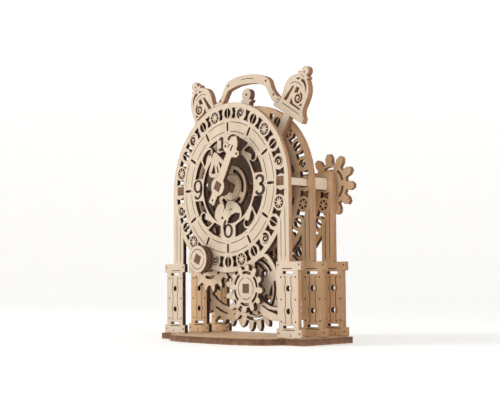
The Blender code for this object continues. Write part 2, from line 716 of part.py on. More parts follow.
def bell(word, side):
    """Flat bell on a foot bar, with a stem that goes down between the plates."""
    foot = -5.0
    inward = bell_points([(-15.2, foot), (-15.2, -3.2), (-12.6, -1.9), (-11.1, 0.2), (-10.7, 3.4),
                          (-10.8, 7.0), (-11.4, 11.4), (-11.3, 15.2), (-10.2, 18.4), (-7.9, 21.3),
                          (-4.7, 23.7), (-3.2, 24.6), (-4.3, 25.4), (-4.1, 26.6), (-1.0, 26.8)])
    knob = arc(mm(2.0), mm(28.9), mm(3.4), -120.0, 132.0, 10)
    outward = bell_points([(6.6, 26.3), (7.4, 25.2), (6.4, 24.3), (8.2, 23.0), (10.6, 20.5),
                           (12.5, 17.2), (13.4, 13.2), (13.5, 8.8), (13.4, 4.6), (14.2, 2.2),
                           (15.8, 0.1), (17.7, -1.2), (17.7, foot)])
    stem = [(STEM_U + STEM_HALF, mm(foot)), (STEM_U + STEM_HALF, STEM_LOW),
            (STEM_U - STEM_HALF, STEM_LOW), (STEM_U - STEM_HALF, mm(foot))]
    shapes = [inward + knob + outward + stem]
    shapes.append(bell_points([(-4.3, 14.6), (-2.7, 15.5), (-4.5, 3.5), (-7.8, 3.1)]))
    shapes.append(bell_points([(-0.2, 15.9), (3.0, 16.2), (3.0, 12.8), (-0.4, 11.3)]))
    shapes.append(bell_points([(-3.8, 20.7), (-0.7, 22.9), (-0.4, 21.2)]))
    shapes.append(bell_points([(1.8, 21.2), (1.6, 22.9), (4.5, 22.8), (7.2, 21.2), (9.0, 19.0),
                               (10.1, 15.4), (7.8, 18.6), (5.2, 20.6)]))
    shapes.append(bell_points([(-1.1, 6.9), (-0.8, 2.9), (10.3, 2.5), (10.8, 3.4), (2.5, 4.0)]))
    shapes.append(bell_points([(10.5, 7.4), (10.9, 5.6), (8.1, 4.9)]))
    shapes.append(spiral_slot(mm(5.0), mm(9.4), mm(4.1), mm(1.55), 5.0, 1.45, 16))
    outlines = [bell_frame(shape, side) for shape in shapes]
    return flat_part(word + "_bell", outlines, BELL_Y, "birch_face", thick=TOP_PLY)


def by_bell(pairs):
    """Upright points given in millimetres from the right bell's foot."""
    return [(BELL_X + mm(x), BELL_Z + mm(z)) for x, z in pairs]


def handle():
    """Arched handle whose feet rest on the bells' foot bars."""
    seat = bell_points([(-11.0, 3.4), (-11.4, 0.1), (-12.9, -1.8), (-15.4, -2.8)])
    foot = placed(seat, BELL_X, BELL_Z, BELL_LEAN)
    outer = by_bell([(-38.6, 27.7), (-32.6, 26.9), (-27.2, 25.6), (-23.2, 23.9), (-20.7, 21.5),
                     (-19.3, 18.5), (-18.0, 15.5), (-15.4, 12.3), (-12.2, 9.3)])
    inner = by_bell([(-18.0, 7.9), (-20.3, 11.3), (-22.0, 14.5), (-24.2, 17.5), (-28.2, 19.0),
                     (-35.1, 20.6)])
    right = outer + foot + inner + [(0.0, BELL_Z + mm(21.2))]
    left = mirrored(right)
    left.reverse()
    outlines = [right + left[1:]]
    for x, z in HANDLE_HOLES:
        hole = circle(BELL_X + x, BELL_Z + z, HANDLE_HOLE_R, 8)
        outlines += [hole, mirrored(hole)]
    return flat_part("handle", [lean_top(line) for line in outlines], BELL_Y, "birch_face",
                     thick=TOP_PLY)


def finial():
    """Pawn-shaped finial on a stem that goes down behind the arch."""
    neck = [(3.7, 5.7), (3.3, 4.9), (5.4, 4.4), (5.4, 2.8), (3.4, 2.2)]
    half = [(mm(x), ARCH_TOP + mm(z)) for x, z in neck] + [(STEM_HALF, FINIAL_LOW_Z)]
    head = arc(0.0, ARCH_TOP + mm(8.4), mm(4.6), -126.0, 126.0, 12)
    other = mirrored(half)
    other.reverse()
    outlines = [other + head + half, circle(0.0, FINIAL_HOLE_Z, HANDLE_HOLE_R, 8)]
    return flat_part("finial", [lean_top(line) for line in outlines], BELL_Y, "birch_face",
                     thick=TOP_PLY)


def stem_socket(name, u_half, low, high, place):
    """Block on the middle plate's face with a pocket round a stem's lower end."""
    wall = mm(1.6)
    depth = MIDDLE_Y - GAP - SOCKET_Y
    pocket_low = STEM_HALF + GAP
    outline = place([(-u_half, high), (-pocket_low, high), (-pocket_low, low + wall),
                     (pocket_low, low + wall), (pocket_low, high), (u_half, high), (u_half, low),
                     (-u_half, low)])
    return flat_part(name, [outline], SOCKET_Y, "birch_plate", thick=depth)


def sockets():
    for word, side in (("right", 1.0), ("left", -1.0)):
        stem_socket(word + "_bell_socket", SOCKET_HALF_W, STEM_LOW - mm(1.9), SOCKET_TOP,
                    lambda points: bell_frame([(u + STEM_U, v) for u, v in points], side))
    stem_socket("finial_socket", SOCKET_HALF_W, FINIAL_LOW_Z - mm(1.9), FINIAL_LOW_Z + mm(5.0),
                lean_top)


# ---- wheels ---------------------------------------------------------------------------------------

def toothed_edge(axis, teeth, root, tip, phase, root_share, tip_share, round_over):
    """Closed tooth outline: shares are the tooth's part of the pitch at root and tip."""
    pitch = 360.0 / teeth
    shoulder = tip - (tip - root) * round_over
    points = []
    for k in range(teeth):
        middle = phase + pitch * k
        crest = [(tip, 0.0)] if teeth > FINE_TEETH else [(tip, -tip_share / 5.0), (tip, tip_share / 5.0)]
        steps = [(root, -root_share / 2.0), (shoulder, -tip_share / 2.0)] + crest
        steps += [(shoulder, tip_share / 2.0), (root, root_share / 2.0)]
        points += [polar(*axis, radius, middle + share * pitch) for radius, share in steps]
    return points


def slots_round(axis, radius, width, count, sweep, phase, chords):
    out = []
    for k in range(count):
        middle = phase + 360.0 / count * k
        out.append(band_slot(*axis, radius, width, middle - sweep / 2.0, middle + sweep / 2.0, chords))
    return out


def knob_axis():
    return (KNOB_X, KNOB_Z)


def lower_axis():
    return (LOWER_X, LOWER_Z)


def dial_axis():
    return (0.0, DIAL_Z)


def bush(name, axis, front_y, turn):
    return flat_part(name, [circle(*axis, BUSH_R, 16), square_hole(axis, turn)], front_y,
                     "birch_axle", axis)


def knob_group():
    """Finger knob, its axle, the gear behind the dial and the large spoked wheel."""
    axis = knob_axis()
    hole = square_hole(axis, KNOB_TURN)
    front = MINUTE_Y + mm(1.6)
    square_axle("knob_axle", front - mm(0.3), REAR_Y + PLY + mm(0.6), axis, KNOB_TURN)
    flat_part("knob_cap", [circle(*axis, KNOB_R, 30), hole], front, "birch_face", axis)
    flat_part("knob_disc", [circle(*axis, KNOB_R, 30), hole], front + PLY + GAP, "birch_face", axis)
    bush("knob_bush_front", axis, 0.0, KNOB_TURN)
    bush("knob_bush_middle", axis, MIDDLE_Y, KNOB_TURN)
    bush("knob_bush_rear", axis, REAR_Y, KNOB_TURN)
    edge = toothed_edge(axis, KNOB_GEAR_TEETH, KNOB_GEAR_ROOT, KNOB_GEAR_TIP, knob_gear_phase(),
                        0.60, 0.32, 0.4)
    slots = slots_round(axis, mm(13.6), mm(1.5), 6, 44.0, 0.0, 3)
    flat_part("knob_gear", [edge, hole] + slots, NEAR_WHEEL_Y, "birch_wheel", axis)
    return spoked_wheel(axis, hole)


def spoked_wheel(axis, hole):
    """Large wheel with rim slots and five curved windows."""
    edge = toothed_edge(axis, SPOKED_TEETH, SPOKED_ROOT, SPOKED_TIP, SPOKED_PHASE, 0.52, 0.28, 0.4)
    outlines = [edge, hole] + slots_round(axis, mm(41.2), mm(1.4), 12, 19.5, 200.0, 2)
    for k in range(5):
        middle = 200.0 + 72.0 * k
        outer = arc(*axis, mm(36.0), middle - 30.0, middle + 24.0, 5)
        inner = [polar(*axis, mm(26.0), middle + 27.0), polar(*axis, mm(17.0), middle + 24.0),
                 polar(*axis, mm(13.5), middle), polar(*axis, mm(22.0), middle - 17.0)]
        outlines.append(outer + inner)
    return flat_part("spoked_wheel", outlines, FAR_WHEEL_Y, "birch_wheel", axis)


def between(start, stop):
    """Clock angle of the direction from one axis to another."""
    return math.degrees(math.atan2(stop[0] - start[0], stop[1] - start[1])) % 360.0


def distance(start, stop):
    return math.hypot(stop[0] - start[0], stop[1] - start[1])


def mate_phase(axis, teeth, phase, mate_axis, mate_teeth):
    """Tooth phase of a wheel so that its gaps face the teeth of the wheel it meshes with."""
    line = between(axis, mate_axis)
    pitch = 360.0 / teeth
    off = (phase - line + pitch / 2.0) % pitch - pitch / 2.0
    return (line + 180.0) - off * teeth / mate_teeth + 180.0 / mate_teeth


def knob_gear_phase():
    return mate_phase(lower_axis(), BIG_TEETH, BIG_PHASE, knob_axis(), KNOB_GEAR_TEETH)


def pinion_phase():
    return mate_phase(knob_axis(), SPOKED_TEETH, SPOKED_PHASE, dial_axis(), PINION_TEETH)


def lower_group():
    """Lower axle with the small gear in front and the long-toothed wheel behind the plate."""
    axis = lower_axis()
    hole = square_hole(axis, 0.0)
    square_axle("lower_axle", SMALL_GEAR_Y - mm(0.3), MIDDLE_Y + PLY + mm(0.4), axis, 0.0)
    bush("lower_bush_front", axis, 0.0, 0.0)
    bush("lower_bush_middle", axis, MIDDLE_Y, 0.0)
    small = toothed_edge(axis, SMALL_TEETH, SMALL_ROOT, SMALL_TIP, SMALL_PHASE, 0.66, 0.44, 0.25)
    slots = slots_round(axis, mm(11.3), mm(1.3), 6, 42.0, 5.0, 3)
    flat_part("front_gear", [small, hole] + slots, SMALL_GEAR_Y, "birch_face", axis)
    big = toothed_edge(axis, BIG_TEETH, BIG_ROOT, BIG_TIP, BIG_PHASE, 0.66, 0.46, 0.35)
    outlines = [big, hole] + slots_round(axis, mm(21.4), mm(1.5), 5, 52.0, 30.0, 4)
    for k in range(5):
        middle = 30.0 + 72.0 * k
        comma = [polar(*axis, mm(18.8), middle - 22.0), polar(*axis, mm(19.2), middle),
                 polar(*axis, mm(18.6), middle + 20.0), polar(*axis, mm(14.6), middle + 28.0),
                 polar(*axis, mm(11.6), middle + 14.0), polar(*axis, mm(13.6), middle + 4.0),
                 polar(*axis, mm(16.0), middle + 6.0), polar(*axis, mm(16.2), middle - 8.0)]
        outlines.append(comma)
    return flat_part("big_gear", outlines, NEAR_WHEEL_Y, "birch_wheel", axis)


def centre_group():
    """Minute axle with its hand, the ringed disc behind the dial and the rear pinion."""
    axis = dial_axis()
    hole = square_hole(axis, HAND_TURN)
    square_axle("minute_axle", MINUTE_Y - mm(0.2), REAR_Y + PLY + mm(0.6), axis, HAND_TURN)
    bush("centre_bush_middle", axis, MIDDLE_Y, HAND_TURN)
    bush("centre_bush_rear", axis, REAR_Y, HAND_TURN)
    slots = slots_round(axis, mm(12.1), mm(2.6), 3, 98.0, 60.0, 7)
    flat_part("centre_disc", [circle(*axis, CENTRE_DISC_R, 32), hole] + slots, NEAR_WHEEL_Y - mm(0.6),
              "birch_wheel", axis)
    gap = distance(knob_axis(), axis)
    tip = gap - SPOKED_ROOT - MESH_PLAY
    root = gap - SPOKED_TIP - MESH_PLAY
    edge = toothed_edge(axis, PINION_TEETH, root, tip, pinion_phase(), 0.60, 0.20, 0.45)
    flat_part("centre_pinion", [edge, hole], FAR_WHEEL_Y, "birch_wheel", axis)
    return minute_hand(axis, hole)


def minute_hand(axis, hole):
    """Long hand: square tail, round hub, plain blade and a head with two curls."""
    half = [(mm(3.4), mm(6.1)), (mm(3.6), mm(12.0)), (mm(3.3), mm(20.0)), (mm(3.2), mm(24.6)),
            (mm(5.6), mm(25.4)), (mm(8.2), mm(26.6)), (mm(9.4), mm(29.0)), (mm(8.2), mm(31.2)),
            (mm(5.2), mm(31.6)), (mm(5.0), mm(34.0)), (mm(3.8), mm(36.8)), (mm(0.6), mm(39.7))]
    other = mirrored(half)
    other.reverse()
    hub_right = arc(0.0, 0.0, HUB_R, 29.0, 152.0, 8)[1:-1]
    hub_left = mirrored(hub_right)
    hub_left.reverse()
    tail = [(TAIL_HALF, -mm(6.6)), (TAIL_HALF, -TAIL_LONG)]
    tail += [(-TAIL_HALF, -TAIL_LONG), (-TAIL_HALF, -mm(6.6))]
    right = list(reversed(half))
    edge = right + hub_right + tail + hub_left + list(reversed(other))
    eye = circle(mm(6.6), mm(28.9), mm(0.9), 8)
    slot = turned_box(0.0, mm(30.4), mm(0.6), mm(2.2), 0.0)
    small = circle(0.0, -mm(11.2), mm(0.8), 8)
    shapes = [edge, eye, mirrored(eye), slot, small]
    outlines = [placed(shape, *axis, MINUTE_ANGLE) for shape in shapes] + [hole]
    return flat_part("minute_hand", outlines, MINUTE_Y, "birch_face", axis)


def hour_hand():
    """Short spade hand with a slit and two long windows, loose on the square axle."""
    axis = dial_axis()
    half = [(mm(3.4), mm(5.6)), (mm(3.2), mm(8.2)), (mm(6.4), mm(9.0)), (mm(9.4), mm(10.8)),
            (mm(10.2), mm(13.2)), (mm(9.2), mm(15.8)), (mm(6.4), mm(19.2)), (mm(3.8), mm(22.8)),
            (mm(2.4), mm(25.0)), (mm(0.5), mm(26.6))]
    other = mirrored(half)
    hub = arc(0.0, 0.0, mm(6.6), 31.5, 328.5, 16)[1:-1]
    edge = list(reversed(half)) + hub + other
    pane = [(mm(3.2), mm(11.4)), (mm(7.4), mm(12.8)), (mm(2.6), mm(18.4))]
    slit = [(mm(-0.6), mm(11.0)), (mm(0.6), mm(11.0)), (mm(0.4), mm(15.8)), (mm(-0.4), mm(15.8))]
    shapes = [edge, pane, mirrored(pane), slit]
    outlines = [placed(shape, *axis, HOUR_ANGLE) for shape in shapes]
    bore = circle(*axis, AXLE / math.sqrt(2.0) + RUN, 20)
    return flat_part("hour_hand", outlines + [bore], HOUR_Y, "birch_face", axis)


def rear_gear():
    """Petal gear turning on a headed peg behind the right end of the cross beam."""
    axis = (BEAM_X, BEAM_Z)
    edge = toothed_edge(axis, PETAL_TEETH, PETAL_ROOT, PETAL_TIP, PETAL_PHASE, 0.66, 0.58, 0.42)
    slots = slots_round(axis, mm(12.2), mm(1.6), 6, 40.0, -3.4, 3)
    flat_part("rear_gear", [edge, circle(*axis, PETAL_BORE, 20)] + slots, REAR_GEAR_Y, "birch_wheel",
              axis)
    near = REAR_Y + PLY + GAP
    head = REAR_GEAR_Y + PLY + GAP
    shank = PETAL_BORE - RUN
    stick("rear_gear_peg", ((near, mm(6.0)), (REAR_GEAR_Y - GAP, mm(6.0)), (REAR_GEAR_Y - GAP, shank),
                            (head, shank), (head, mm(5.2)), (head + mm(2.0), mm(5.2))),
          "birch_axle", axis, 12)


clear_scene()
PARTS = new_collection("wooden_clock_kit")
MATERIALS = {name: make_material(name) for name in WOODS}
base_plate()
front_plate()
middle_plate()
rear_plate()
beam_plies()
bell("left", -1.0)
bell("right", 1.0)
handle()
finial()
sockets()
knob_group()
lower_group()
centre_group()
hour_hand()
rear_gear()
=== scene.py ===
# %% [markdown]
# # Dressing a laser-cut wooden clock kit
# The clock is a stack of flat plywood parts: a fretted dial plate, two plates behind it, wheels on
# square axles, two bells and a handle.  Their shapes come ready made, as a frame that stays as it is,
# with every tooth and opening already cut.  What is left for this lesson is what makes them
# look like plywood from a laser cutter: grain on the faces, glue lines and char on the cut edges, a
# brown halo beside each cut, and the burnt lines, pits and numerals.

# %% Load the frame
import json
import math

import bmesh
import bpy
import numpy as np
from mathutils import Matrix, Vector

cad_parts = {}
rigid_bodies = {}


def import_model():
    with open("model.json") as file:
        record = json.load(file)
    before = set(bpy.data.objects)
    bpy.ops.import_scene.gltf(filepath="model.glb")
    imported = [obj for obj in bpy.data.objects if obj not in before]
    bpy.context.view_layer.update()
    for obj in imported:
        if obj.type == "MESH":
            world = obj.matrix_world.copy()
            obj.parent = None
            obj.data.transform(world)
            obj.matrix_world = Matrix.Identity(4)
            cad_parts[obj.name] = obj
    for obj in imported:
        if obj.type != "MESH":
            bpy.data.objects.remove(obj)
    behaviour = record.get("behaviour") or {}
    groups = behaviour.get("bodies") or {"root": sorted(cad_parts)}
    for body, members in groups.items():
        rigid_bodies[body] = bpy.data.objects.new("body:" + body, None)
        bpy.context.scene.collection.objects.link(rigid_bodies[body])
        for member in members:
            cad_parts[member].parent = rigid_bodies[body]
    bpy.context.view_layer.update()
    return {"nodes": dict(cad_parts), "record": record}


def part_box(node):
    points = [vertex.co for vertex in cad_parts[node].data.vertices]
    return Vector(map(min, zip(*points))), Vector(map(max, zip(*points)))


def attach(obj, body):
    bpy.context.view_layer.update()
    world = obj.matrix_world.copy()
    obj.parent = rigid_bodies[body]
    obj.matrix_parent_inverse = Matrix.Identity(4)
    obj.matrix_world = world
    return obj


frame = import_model()
NODES = frame["nodes"]
BODY_OF = {node: body for body, nodes in frame["record"]["behaviour"]["bodies"].items()
           for node in nodes}

# %% [markdown]
# The frame is in metres with its origin under the base board, so two numbers carry one into the
# other. Everything could be typed in metres instead, but sizes in plate millimetres are easy to
# check against a ruler laid on the real thing.

# %% From plate millimetres to the frame
MM = 0.001                      # one millimetre in metres
FACE_Y = -23.8                  # the dial's face, millimetres in the frame
FEET_Z = 4.8                    # the columns' feet above the table
DIAL_Z = 106.7                  # dial centre above the feet

# where the axes cross the plates, x and z
DIAL_AXIS = (0.0, DIAL_Z)
KNOB_AXIS = (-24.5, 55.0)
LOWER_AXIS = (22.6, 33.5)
PEG_AXIS = (53.5, 107.4)


def in_frame(x, y, z):
    """Plate millimetres, as arrays or numbers, to points of the frame in metres."""
    x, y, z = np.broadcast_arrays(np.asarray(x, float), np.asarray(y, float), np.asarray(z, float))
    return np.stack((x, y + FACE_Y, z + FEET_Z), -1) * MM


def clock_point(radius, angle, x=0.0, z=DIAL_Z):
    """Point at a radius and a clock angle, degrees clockwise from twelve, round x, z."""
    turn = np.radians(angle)
    return np.stack((x + radius * np.sin(turn), z + radius * np.cos(turn)), -1)


def front_of(node):
    """Front face of a part, in plate millimetres behind the dial's face, read off its box."""
    return round(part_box(node)[0][1] / MM - FACE_Y, 3)


print("dial centre in the frame:", np.round(in_frame(0.0, 0.0, DIAL_Z), 4))
print("minute hand in front of the dial by", -front_of("minute_hand"), "mm")

# %% [markdown]
# A camera, a lamp or a mesh shows only once it is in an object and the object is in the scene.  The
# place of a camera or lamp could be typed as turns round three axes, but directions are easier to
# check, so its matrix is filled with them.

# %% Objects and where they look
def placed(name, data):
    """New object in the scene."""
    thing = bpy.data.objects.new(name, data)
    bpy.context.scene.collection.objects.link(thing)
    return thing


def facing(right, up, back, place):
    """Matrix whose columns are three directions and a place."""
    matrix = np.eye(4)
    matrix[:3] = np.stack((right, up, back, place), 1)
    return Matrix(matrix.tolist())


print("objects in the scene:", len(bpy.context.scene.collection.all_objects))

# %% [markdown]
# The camera stands low on the right and looks slightly up, so each plate hides the left part of the
# one behind it.  It could be aimed with a Track To constraint, but then it could not roll.  I work
# out where it looks, what is to its right and what is above it, and write those into its matrix.

# %% Camera
CAMERA_AT = (0.5497, -0.5208, 0.0427)
HEADING = 0.814                 # radians, from straight back towards the left
TILT_UP = 0.080
ROLL = -0.007
SENSOR_WIDE = 36.0
PICTURE_WIDE = 500.0            # pixels
FOCAL_PIXELS = 1025.3           # at that width


def camera_matrix(place, heading, tilt, roll):
    """Columns are right, up and backwards; forward is heading and tilt as a unit vector."""
    forward = np.array((-math.sin(heading) * math.cos(tilt), math.cos(heading) * math.cos(tilt),
                        math.sin(tilt)))
    level = np.array((math.cos(heading), math.sin(heading), 0.0))
    above = np.cross(level, forward)
    right = math.cos(roll) * level + math.sin(roll) * above
    up = -math.sin(roll) * level + math.cos(roll) * above
    return facing(right, up, -forward, place)


view = bpy.data.cameras.new("view")
view.sensor_fit = "HORIZONTAL"
view.sensor_width = SENSOR_WIDE
view.lens = FOCAL_PIXELS / PICTURE_WIDE * SENSOR_WIDE
view.clip_start = 0.02
camera = placed("view", view)
camera.matrix_world = camera_matrix(CAMERA_AT, HEADING, TILT_UP, ROLL)
bpy.context.scene.camera = camera
print("camera lens", round(view.lens, 1), "mm")

# %% [markdown]
# A finish is a small sum over the surface: how deep in the sheet a point is, how the fibres run, how
# close it is to the cut.  It could be clicked together as nodes, but a sum drawn as nodes is hard to
# read.  So one small class wraps a node's output and lets Python's own + - * / build the Math nodes.

# %% Shader sums
class Wire:
    """An output of a shader node.  Sums on it add one Math node each."""

    def __init__(self, bench, socket):
        self.bench, self.socket = bench, socket

    def sum(self, operation, *values):
        return self.bench.add("ShaderNodeMath", {"operation": operation},
                              {k: value for k, value in enumerate((self,) + values)})

    def swapped(self, operation, value):
        return self.bench.add("ShaderNodeMath", {"operation": operation}, {0: value, 1: self})

    def __add__(self, other):
        return self.sum("ADD", other)

    def __sub__(self, other):
        return self.sum("SUBTRACT", other)

    def __mul__(self, other):
        return self.sum("MULTIPLY", other)

    def __truediv__(self, other):
        return self.sum("DIVIDE", other)

    def __pow__(self, power):
        return self.sum("POWER", power)

    def __rsub__(self, other):
        return self.swapped("SUBTRACT", other)

    def __rtruediv__(self, other):
        return self.swapped("DIVIDE", other)

    def __abs__(self):
        return self.sum("ABSOLUTE")

    __radd__ = __add__
    __rmul__ = __mul__

    def above(self, limit):
        """1 where the value is greater than the limit, 0 elsewhere."""
        return self.sum("GREATER_THAN", limit)

    def rise(self, start, stop):
        """0 before start, 1 after stop and an even slope between them."""
        return self.bench.add("ShaderNodeMapRange", {"clamp": True},
                              {0: self, 1: start, 2: stop, 3: 0.0, 4: 1.0})


print("shader sums ready")

# %% [markdown]
# Everything that isn't a sum, such as a Noise texture or a colour mix, goes through a single method
# that takes the node's type, its settings and its inputs.  Sockets that share a name are picked by
# number.

# %% Shader bench
OBJECT_OUTPUT = 3               # of Texture Coordinate
ATTRIBUTE_VALUE = 2             # of Attribute: the plain number
MIX_COLOURS = (6, 7)            # of Mix: its two colours
MIX_RESULT = 2                  # and the colour that it gives


def colour(value):
    return value if isinstance(value, Wire) else (*value, 1.0)


class Bench:
    """One material under construction."""

    def __init__(self, name):
        self.material = bpy.data.materials.new(name)
        self.material.use_nodes = True
        self.nodes = self.material.node_tree.nodes
        self.links = self.material.node_tree.links
        self.shader = self.nodes["Principled BSDF"]

    def add(self, kind, settings=None, inputs=None, output=0):
        """Adds a node: settings first, then values or wires into its inputs."""
        node = self.nodes.new(kind)
        for key, value in (settings or {}).items():
            setattr(node, key, value)
        for key, value in (inputs or {}).items():
            self.plug(node.inputs[key], value)
        return Wire(self, node.outputs[output])

    def plug(self, socket, value):
        if isinstance(value, Wire):
            self.links.new(value.socket, socket)
        else:
            socket.default_value = value

    def blend(self, factor, first, second):
        """Colour mix: first where factor is 0, second where it is 1."""
        return self.add("ShaderNodeMix", {"data_type": "RGBA"},
                        {0: factor, MIX_COLOURS[0]: colour(first), MIX_COLOURS[1]: colour(second)},
                        MIX_RESULT)

    def point(self):
        """The surface point in the frame, in millimetres, as three wires."""
        place = self.add("ShaderNodeTexCoord", output=OBJECT_OUTPUT)
        parts = self.nodes.new("ShaderNodeSeparateXYZ")
        self.links.new(place.socket, parts.inputs[0])
        return [Wire(self, parts.outputs[k]) * 1000.0 for k in range(3)]

    def noise(self, x, y, z, detail, rough):
        """Cloudy value about 0.5 whose grains are one unit wide in each of the three sums."""
        where = self.add("ShaderNodeCombineXYZ", inputs={0: x, 1: y, 2: z})
        return self.add("ShaderNodeTexNoise", {"noise_dimensions": "3D"},
                        {"Vector": where, "Scale": 1.0, "Detail": detail, "Roughness": rough})

    def bump(self, strength, distance, height):
        """Dents of a height wire, at most distance metres deep, for the Normal socket."""
        return self.add("ShaderNodeBump", inputs={"Strength": strength, "Distance": distance,
                                                  "Height": height})

    def finish(self, **sockets):
        for name, value in sockets.items():
            self.plug(self.shader.inputs[name.replace("_", " ")], value)
        return self.material


print("shader bench ready")

# %% [markdown]
# The walls of a plate's openings are painted darker than its outer rim and the outer sides of its
# columns: char from the cut, with painted shade on top where the openings lie in shade and the rim
# stands in the light.  Two materials on two sets of faces could tell them apart, but the frame's faces
# stay as they are, so a mask reads where a point is: far out from the dial's centre, or, down on the
# columns, far out from the middle.

# %% Outer rims lighter than the shaded openings
RIM_EDGE = 61.2                 # past this far out from the dial a cut is the plate's own rim
COLUMN_EDGE = 63.5              # and past this far from the middle a column's outer side
LEG_FROM = 56.0                 # rims begin this far above the table, where the columns end


def rim_mask(bench, x, z):
    """1 on a plate's outer edge, 0 on the walls of its openings.

    The reach is the distance from the dial's centre above it and plain |x| below it.
    """
    rise = (z - (DIAL_Z + FEET_Z)).sum("MAXIMUM", 0.0)
    reach = (x * x + rise * rise) ** 0.5
    leg = reach.above(RIM_EDGE) * z.above(LEG_FROM)
    return (leg + abs(x).above(COLUMN_EDGE)).sum("MINIMUM", 1.0)


print("rims are bare past", RIM_EDGE, "mm from the dial's centre")

# %% [markdown]
# Birch ply is three layers: two pale skins with fibres along the sheet and a core across it, with a
# thin glue line on either side.  The beam that cuts it leaves the face clean and the edge toasted,
# darker towards the far side, with fine striations along the cut.  A picture of wood could be wrapped
# round each part, but it would have no edge, so face and edge each get a sum of their own.

# %% Skin and edge of the ply
CHAR = (0.034, 0.0135, 0.0080)
TOAST = (0.215, 0.098, 0.048)
SKIN_EDGE = (0.50, 0.275, 0.145)
HALO = (0.235, 0.115, 0.052)
FACE_DEPTH = 0.497              # share of the sheet, from its middle, past which a point is on a face
GLUE_DEPTH = 0.17               # and at which the glue lines run
# painted shade: the front faces close behind the dial are darkened in a circle, for the shade that the
# stack casts there
PAINTED_SHADE_X = -8.0                  # middle of the shade behind the dial, left of the dial's own
PAINTED_SHADE_EDGE = (49.0, 58.0)       # the painted shade is full inside the first radius and gone past the second
PAINTED_SHADE = (0.050, 0.022, 0.015)


def skin_colour(bench, point, axis, depth, fibre, side, streak, tones, painted_shade_amount):
    """Face of a sheet: pale to deep along the fibres, dark flecks, painted shade behind the dial, then
    the halo's brown.
    """
    pale, deep = tones
    cloud = bench.noise(side * 0.16, point[axis] * 0.5 + 7.0, fibre * 0.035, 2.0, 0.5)
    fleck = bench.noise(side * 6.5, point[axis] + 3.0, fibre * 0.55, 2.0, 0.5).rise(0.64, 0.74)
    figure = streak.rise(0.34, 0.72) * 0.55 + cloud.rise(0.35, 0.68) * 0.45
    skin = bench.blend(figure, pale, deep)
    skin = bench.blend(fleck * 0.38, skin, tuple(c * 0.55 for c in deep))
    # painted shade: a darker tone on the front face inside a circle behind the dial
    if painted_shade_amount:
        px, pz = point[0] - PAINTED_SHADE_X, point[2] - (DIAL_Z + FEET_Z)
        inside = 1.0 - ((px * px + pz * pz) ** 0.5).rise(*PAINTED_SHADE_EDGE)
        skin = bench.blend(inside * (1.0 - depth.above(0.5)) * painted_shade_amount, skin, PAINTED_SHADE)
    burn = bench.add("ShaderNodeAttribute", {"attribute_name": "burn"}, output=ATTRIBUTE_VALUE)
    return bench.blend((burn ** 1.4) * 0.9, skin, HALO)


def edge_colour(bench, depth, scratch, blotch, level):
    """Cut of a sheet: bare skin to toast to char as the level rises, dark along the glue lines."""
    glue = 1.0 - abs(abs(depth - 0.5) - GLUE_DEPTH).rise(0.015, 0.05)
    toast = (scratch - 0.5) * 0.5 + (blotch - 0.5) * 0.5 + (depth - 0.5) * 0.16 + level
    edge = bench.blend(toast.rise(0.05, 0.55), SKIN_EDGE, TOAST)
    edge = bench.blend(glue * 0.6, edge, CHAR)
    return bench.blend(toast.rise(0.5, 0.95), edge, CHAR)


print("birch edge colours:", SKIN_EDGE, TOAST, CHAR)

# %% [markdown]
# One function of depth tells face from edge: a point whose depth is 0 or 1 sheet lies on a face, and
# any other lies on a cut.  Two materials on two sets of faces would do it as well, but this reads
# only Object coordinates, so it holds for every plate, wheel and hand, and turns with them.

# %% Birch plywood
def birch(name, axis, near, thick, tones, grain, char_and_shade, rim_burnt, painted_shade_amount):
    """Finish of one sheet: depth is (point - near) / thick along the sheet's own axis.

    Fibres run along a direction turned by grain degrees in the sheet's plane.  The cut level runs from
    bare wood, 0, to char, 1: char with painted shade on the cuts that lie in shade, in the openings
    and inside the clock, and rim_burnt is the lighter level of a plate's outer edge, in the light.
    The last argument paints shade on the front half of the sheet, a darker tone inside a circle
    behind the dial that fades over the shade's two edge radii.
    """
    bench = Bench(name)
    point = bench.point()
    depth = (point[axis] - near) / thick
    across, along = [point[k] for k in range(3) if k != axis]
    turn = math.radians(grain)
    fibre = along * math.cos(turn) + across * math.sin(turn)
    side = across * math.cos(turn) - along * math.sin(turn)
    on_face = abs(depth - 0.5).above(FACE_DEPTH)

    streak = bench.noise(side * 2.6, point[axis] * 0.9, fibre * 0.11, 5.0, 0.62)
    skin = skin_colour(bench, point, axis, depth, fibre, side, streak, tones, painted_shade_amount)

    scratch = bench.noise(side * 3.2, depth * 0.7, fibre * 3.2, 3.0, 0.6)
    blotch = bench.noise(side * 0.22, depth * 0.9, fibre * 0.22, 2.0, 0.5)
    # the cut's level: char, with painted shade where the cut lies in shade
    level = char_and_shade
    if rim_burnt is not None:
        level = rim_mask(bench, point[0], point[2]) * (rim_burnt - char_and_shade) + char_and_shade
    edge = edge_colour(bench, depth, scratch, blotch, level)

    relief = streak * on_face + scratch * (1.0 - on_face) * 1.6
    rough = 0.60 + streak * 0.12 + (1.0 - on_face) * 0.16
    return bench.finish(Base_Color=bench.blend(on_face, edge, skin), Roughness=rough,
                        Normal=bench.bump(0.22, 0.00012, relief))


print("a face is less than", round(0.5 - FACE_DEPTH, 4), "of the sheet deep")

# %% [markdown]
# Each part was cut from its own spot on the sheet, so no two have quite the same tone or the same run
# of fibres.  One shared material would be quicker, but would give them all one pattern, so every node
# gets a finish of its own, from its box: the thin side of the box is the sheet.  The plates behind
# the dial are a warmer batch than the front.  What stands close behind the dial is in deep shade, and
# that shade is painted on its front side as a darker tone.

# %% Finish of each flat part
# pale and deep tone of each batch
PALE = ((0.680, 0.558, 0.432), (0.570, 0.445, 0.322))
TAN = ((0.80, 0.550, 0.335), (0.63, 0.400, 0.220))
MILD = ((0.72, 0.555, 0.385), (0.58, 0.42, 0.27))
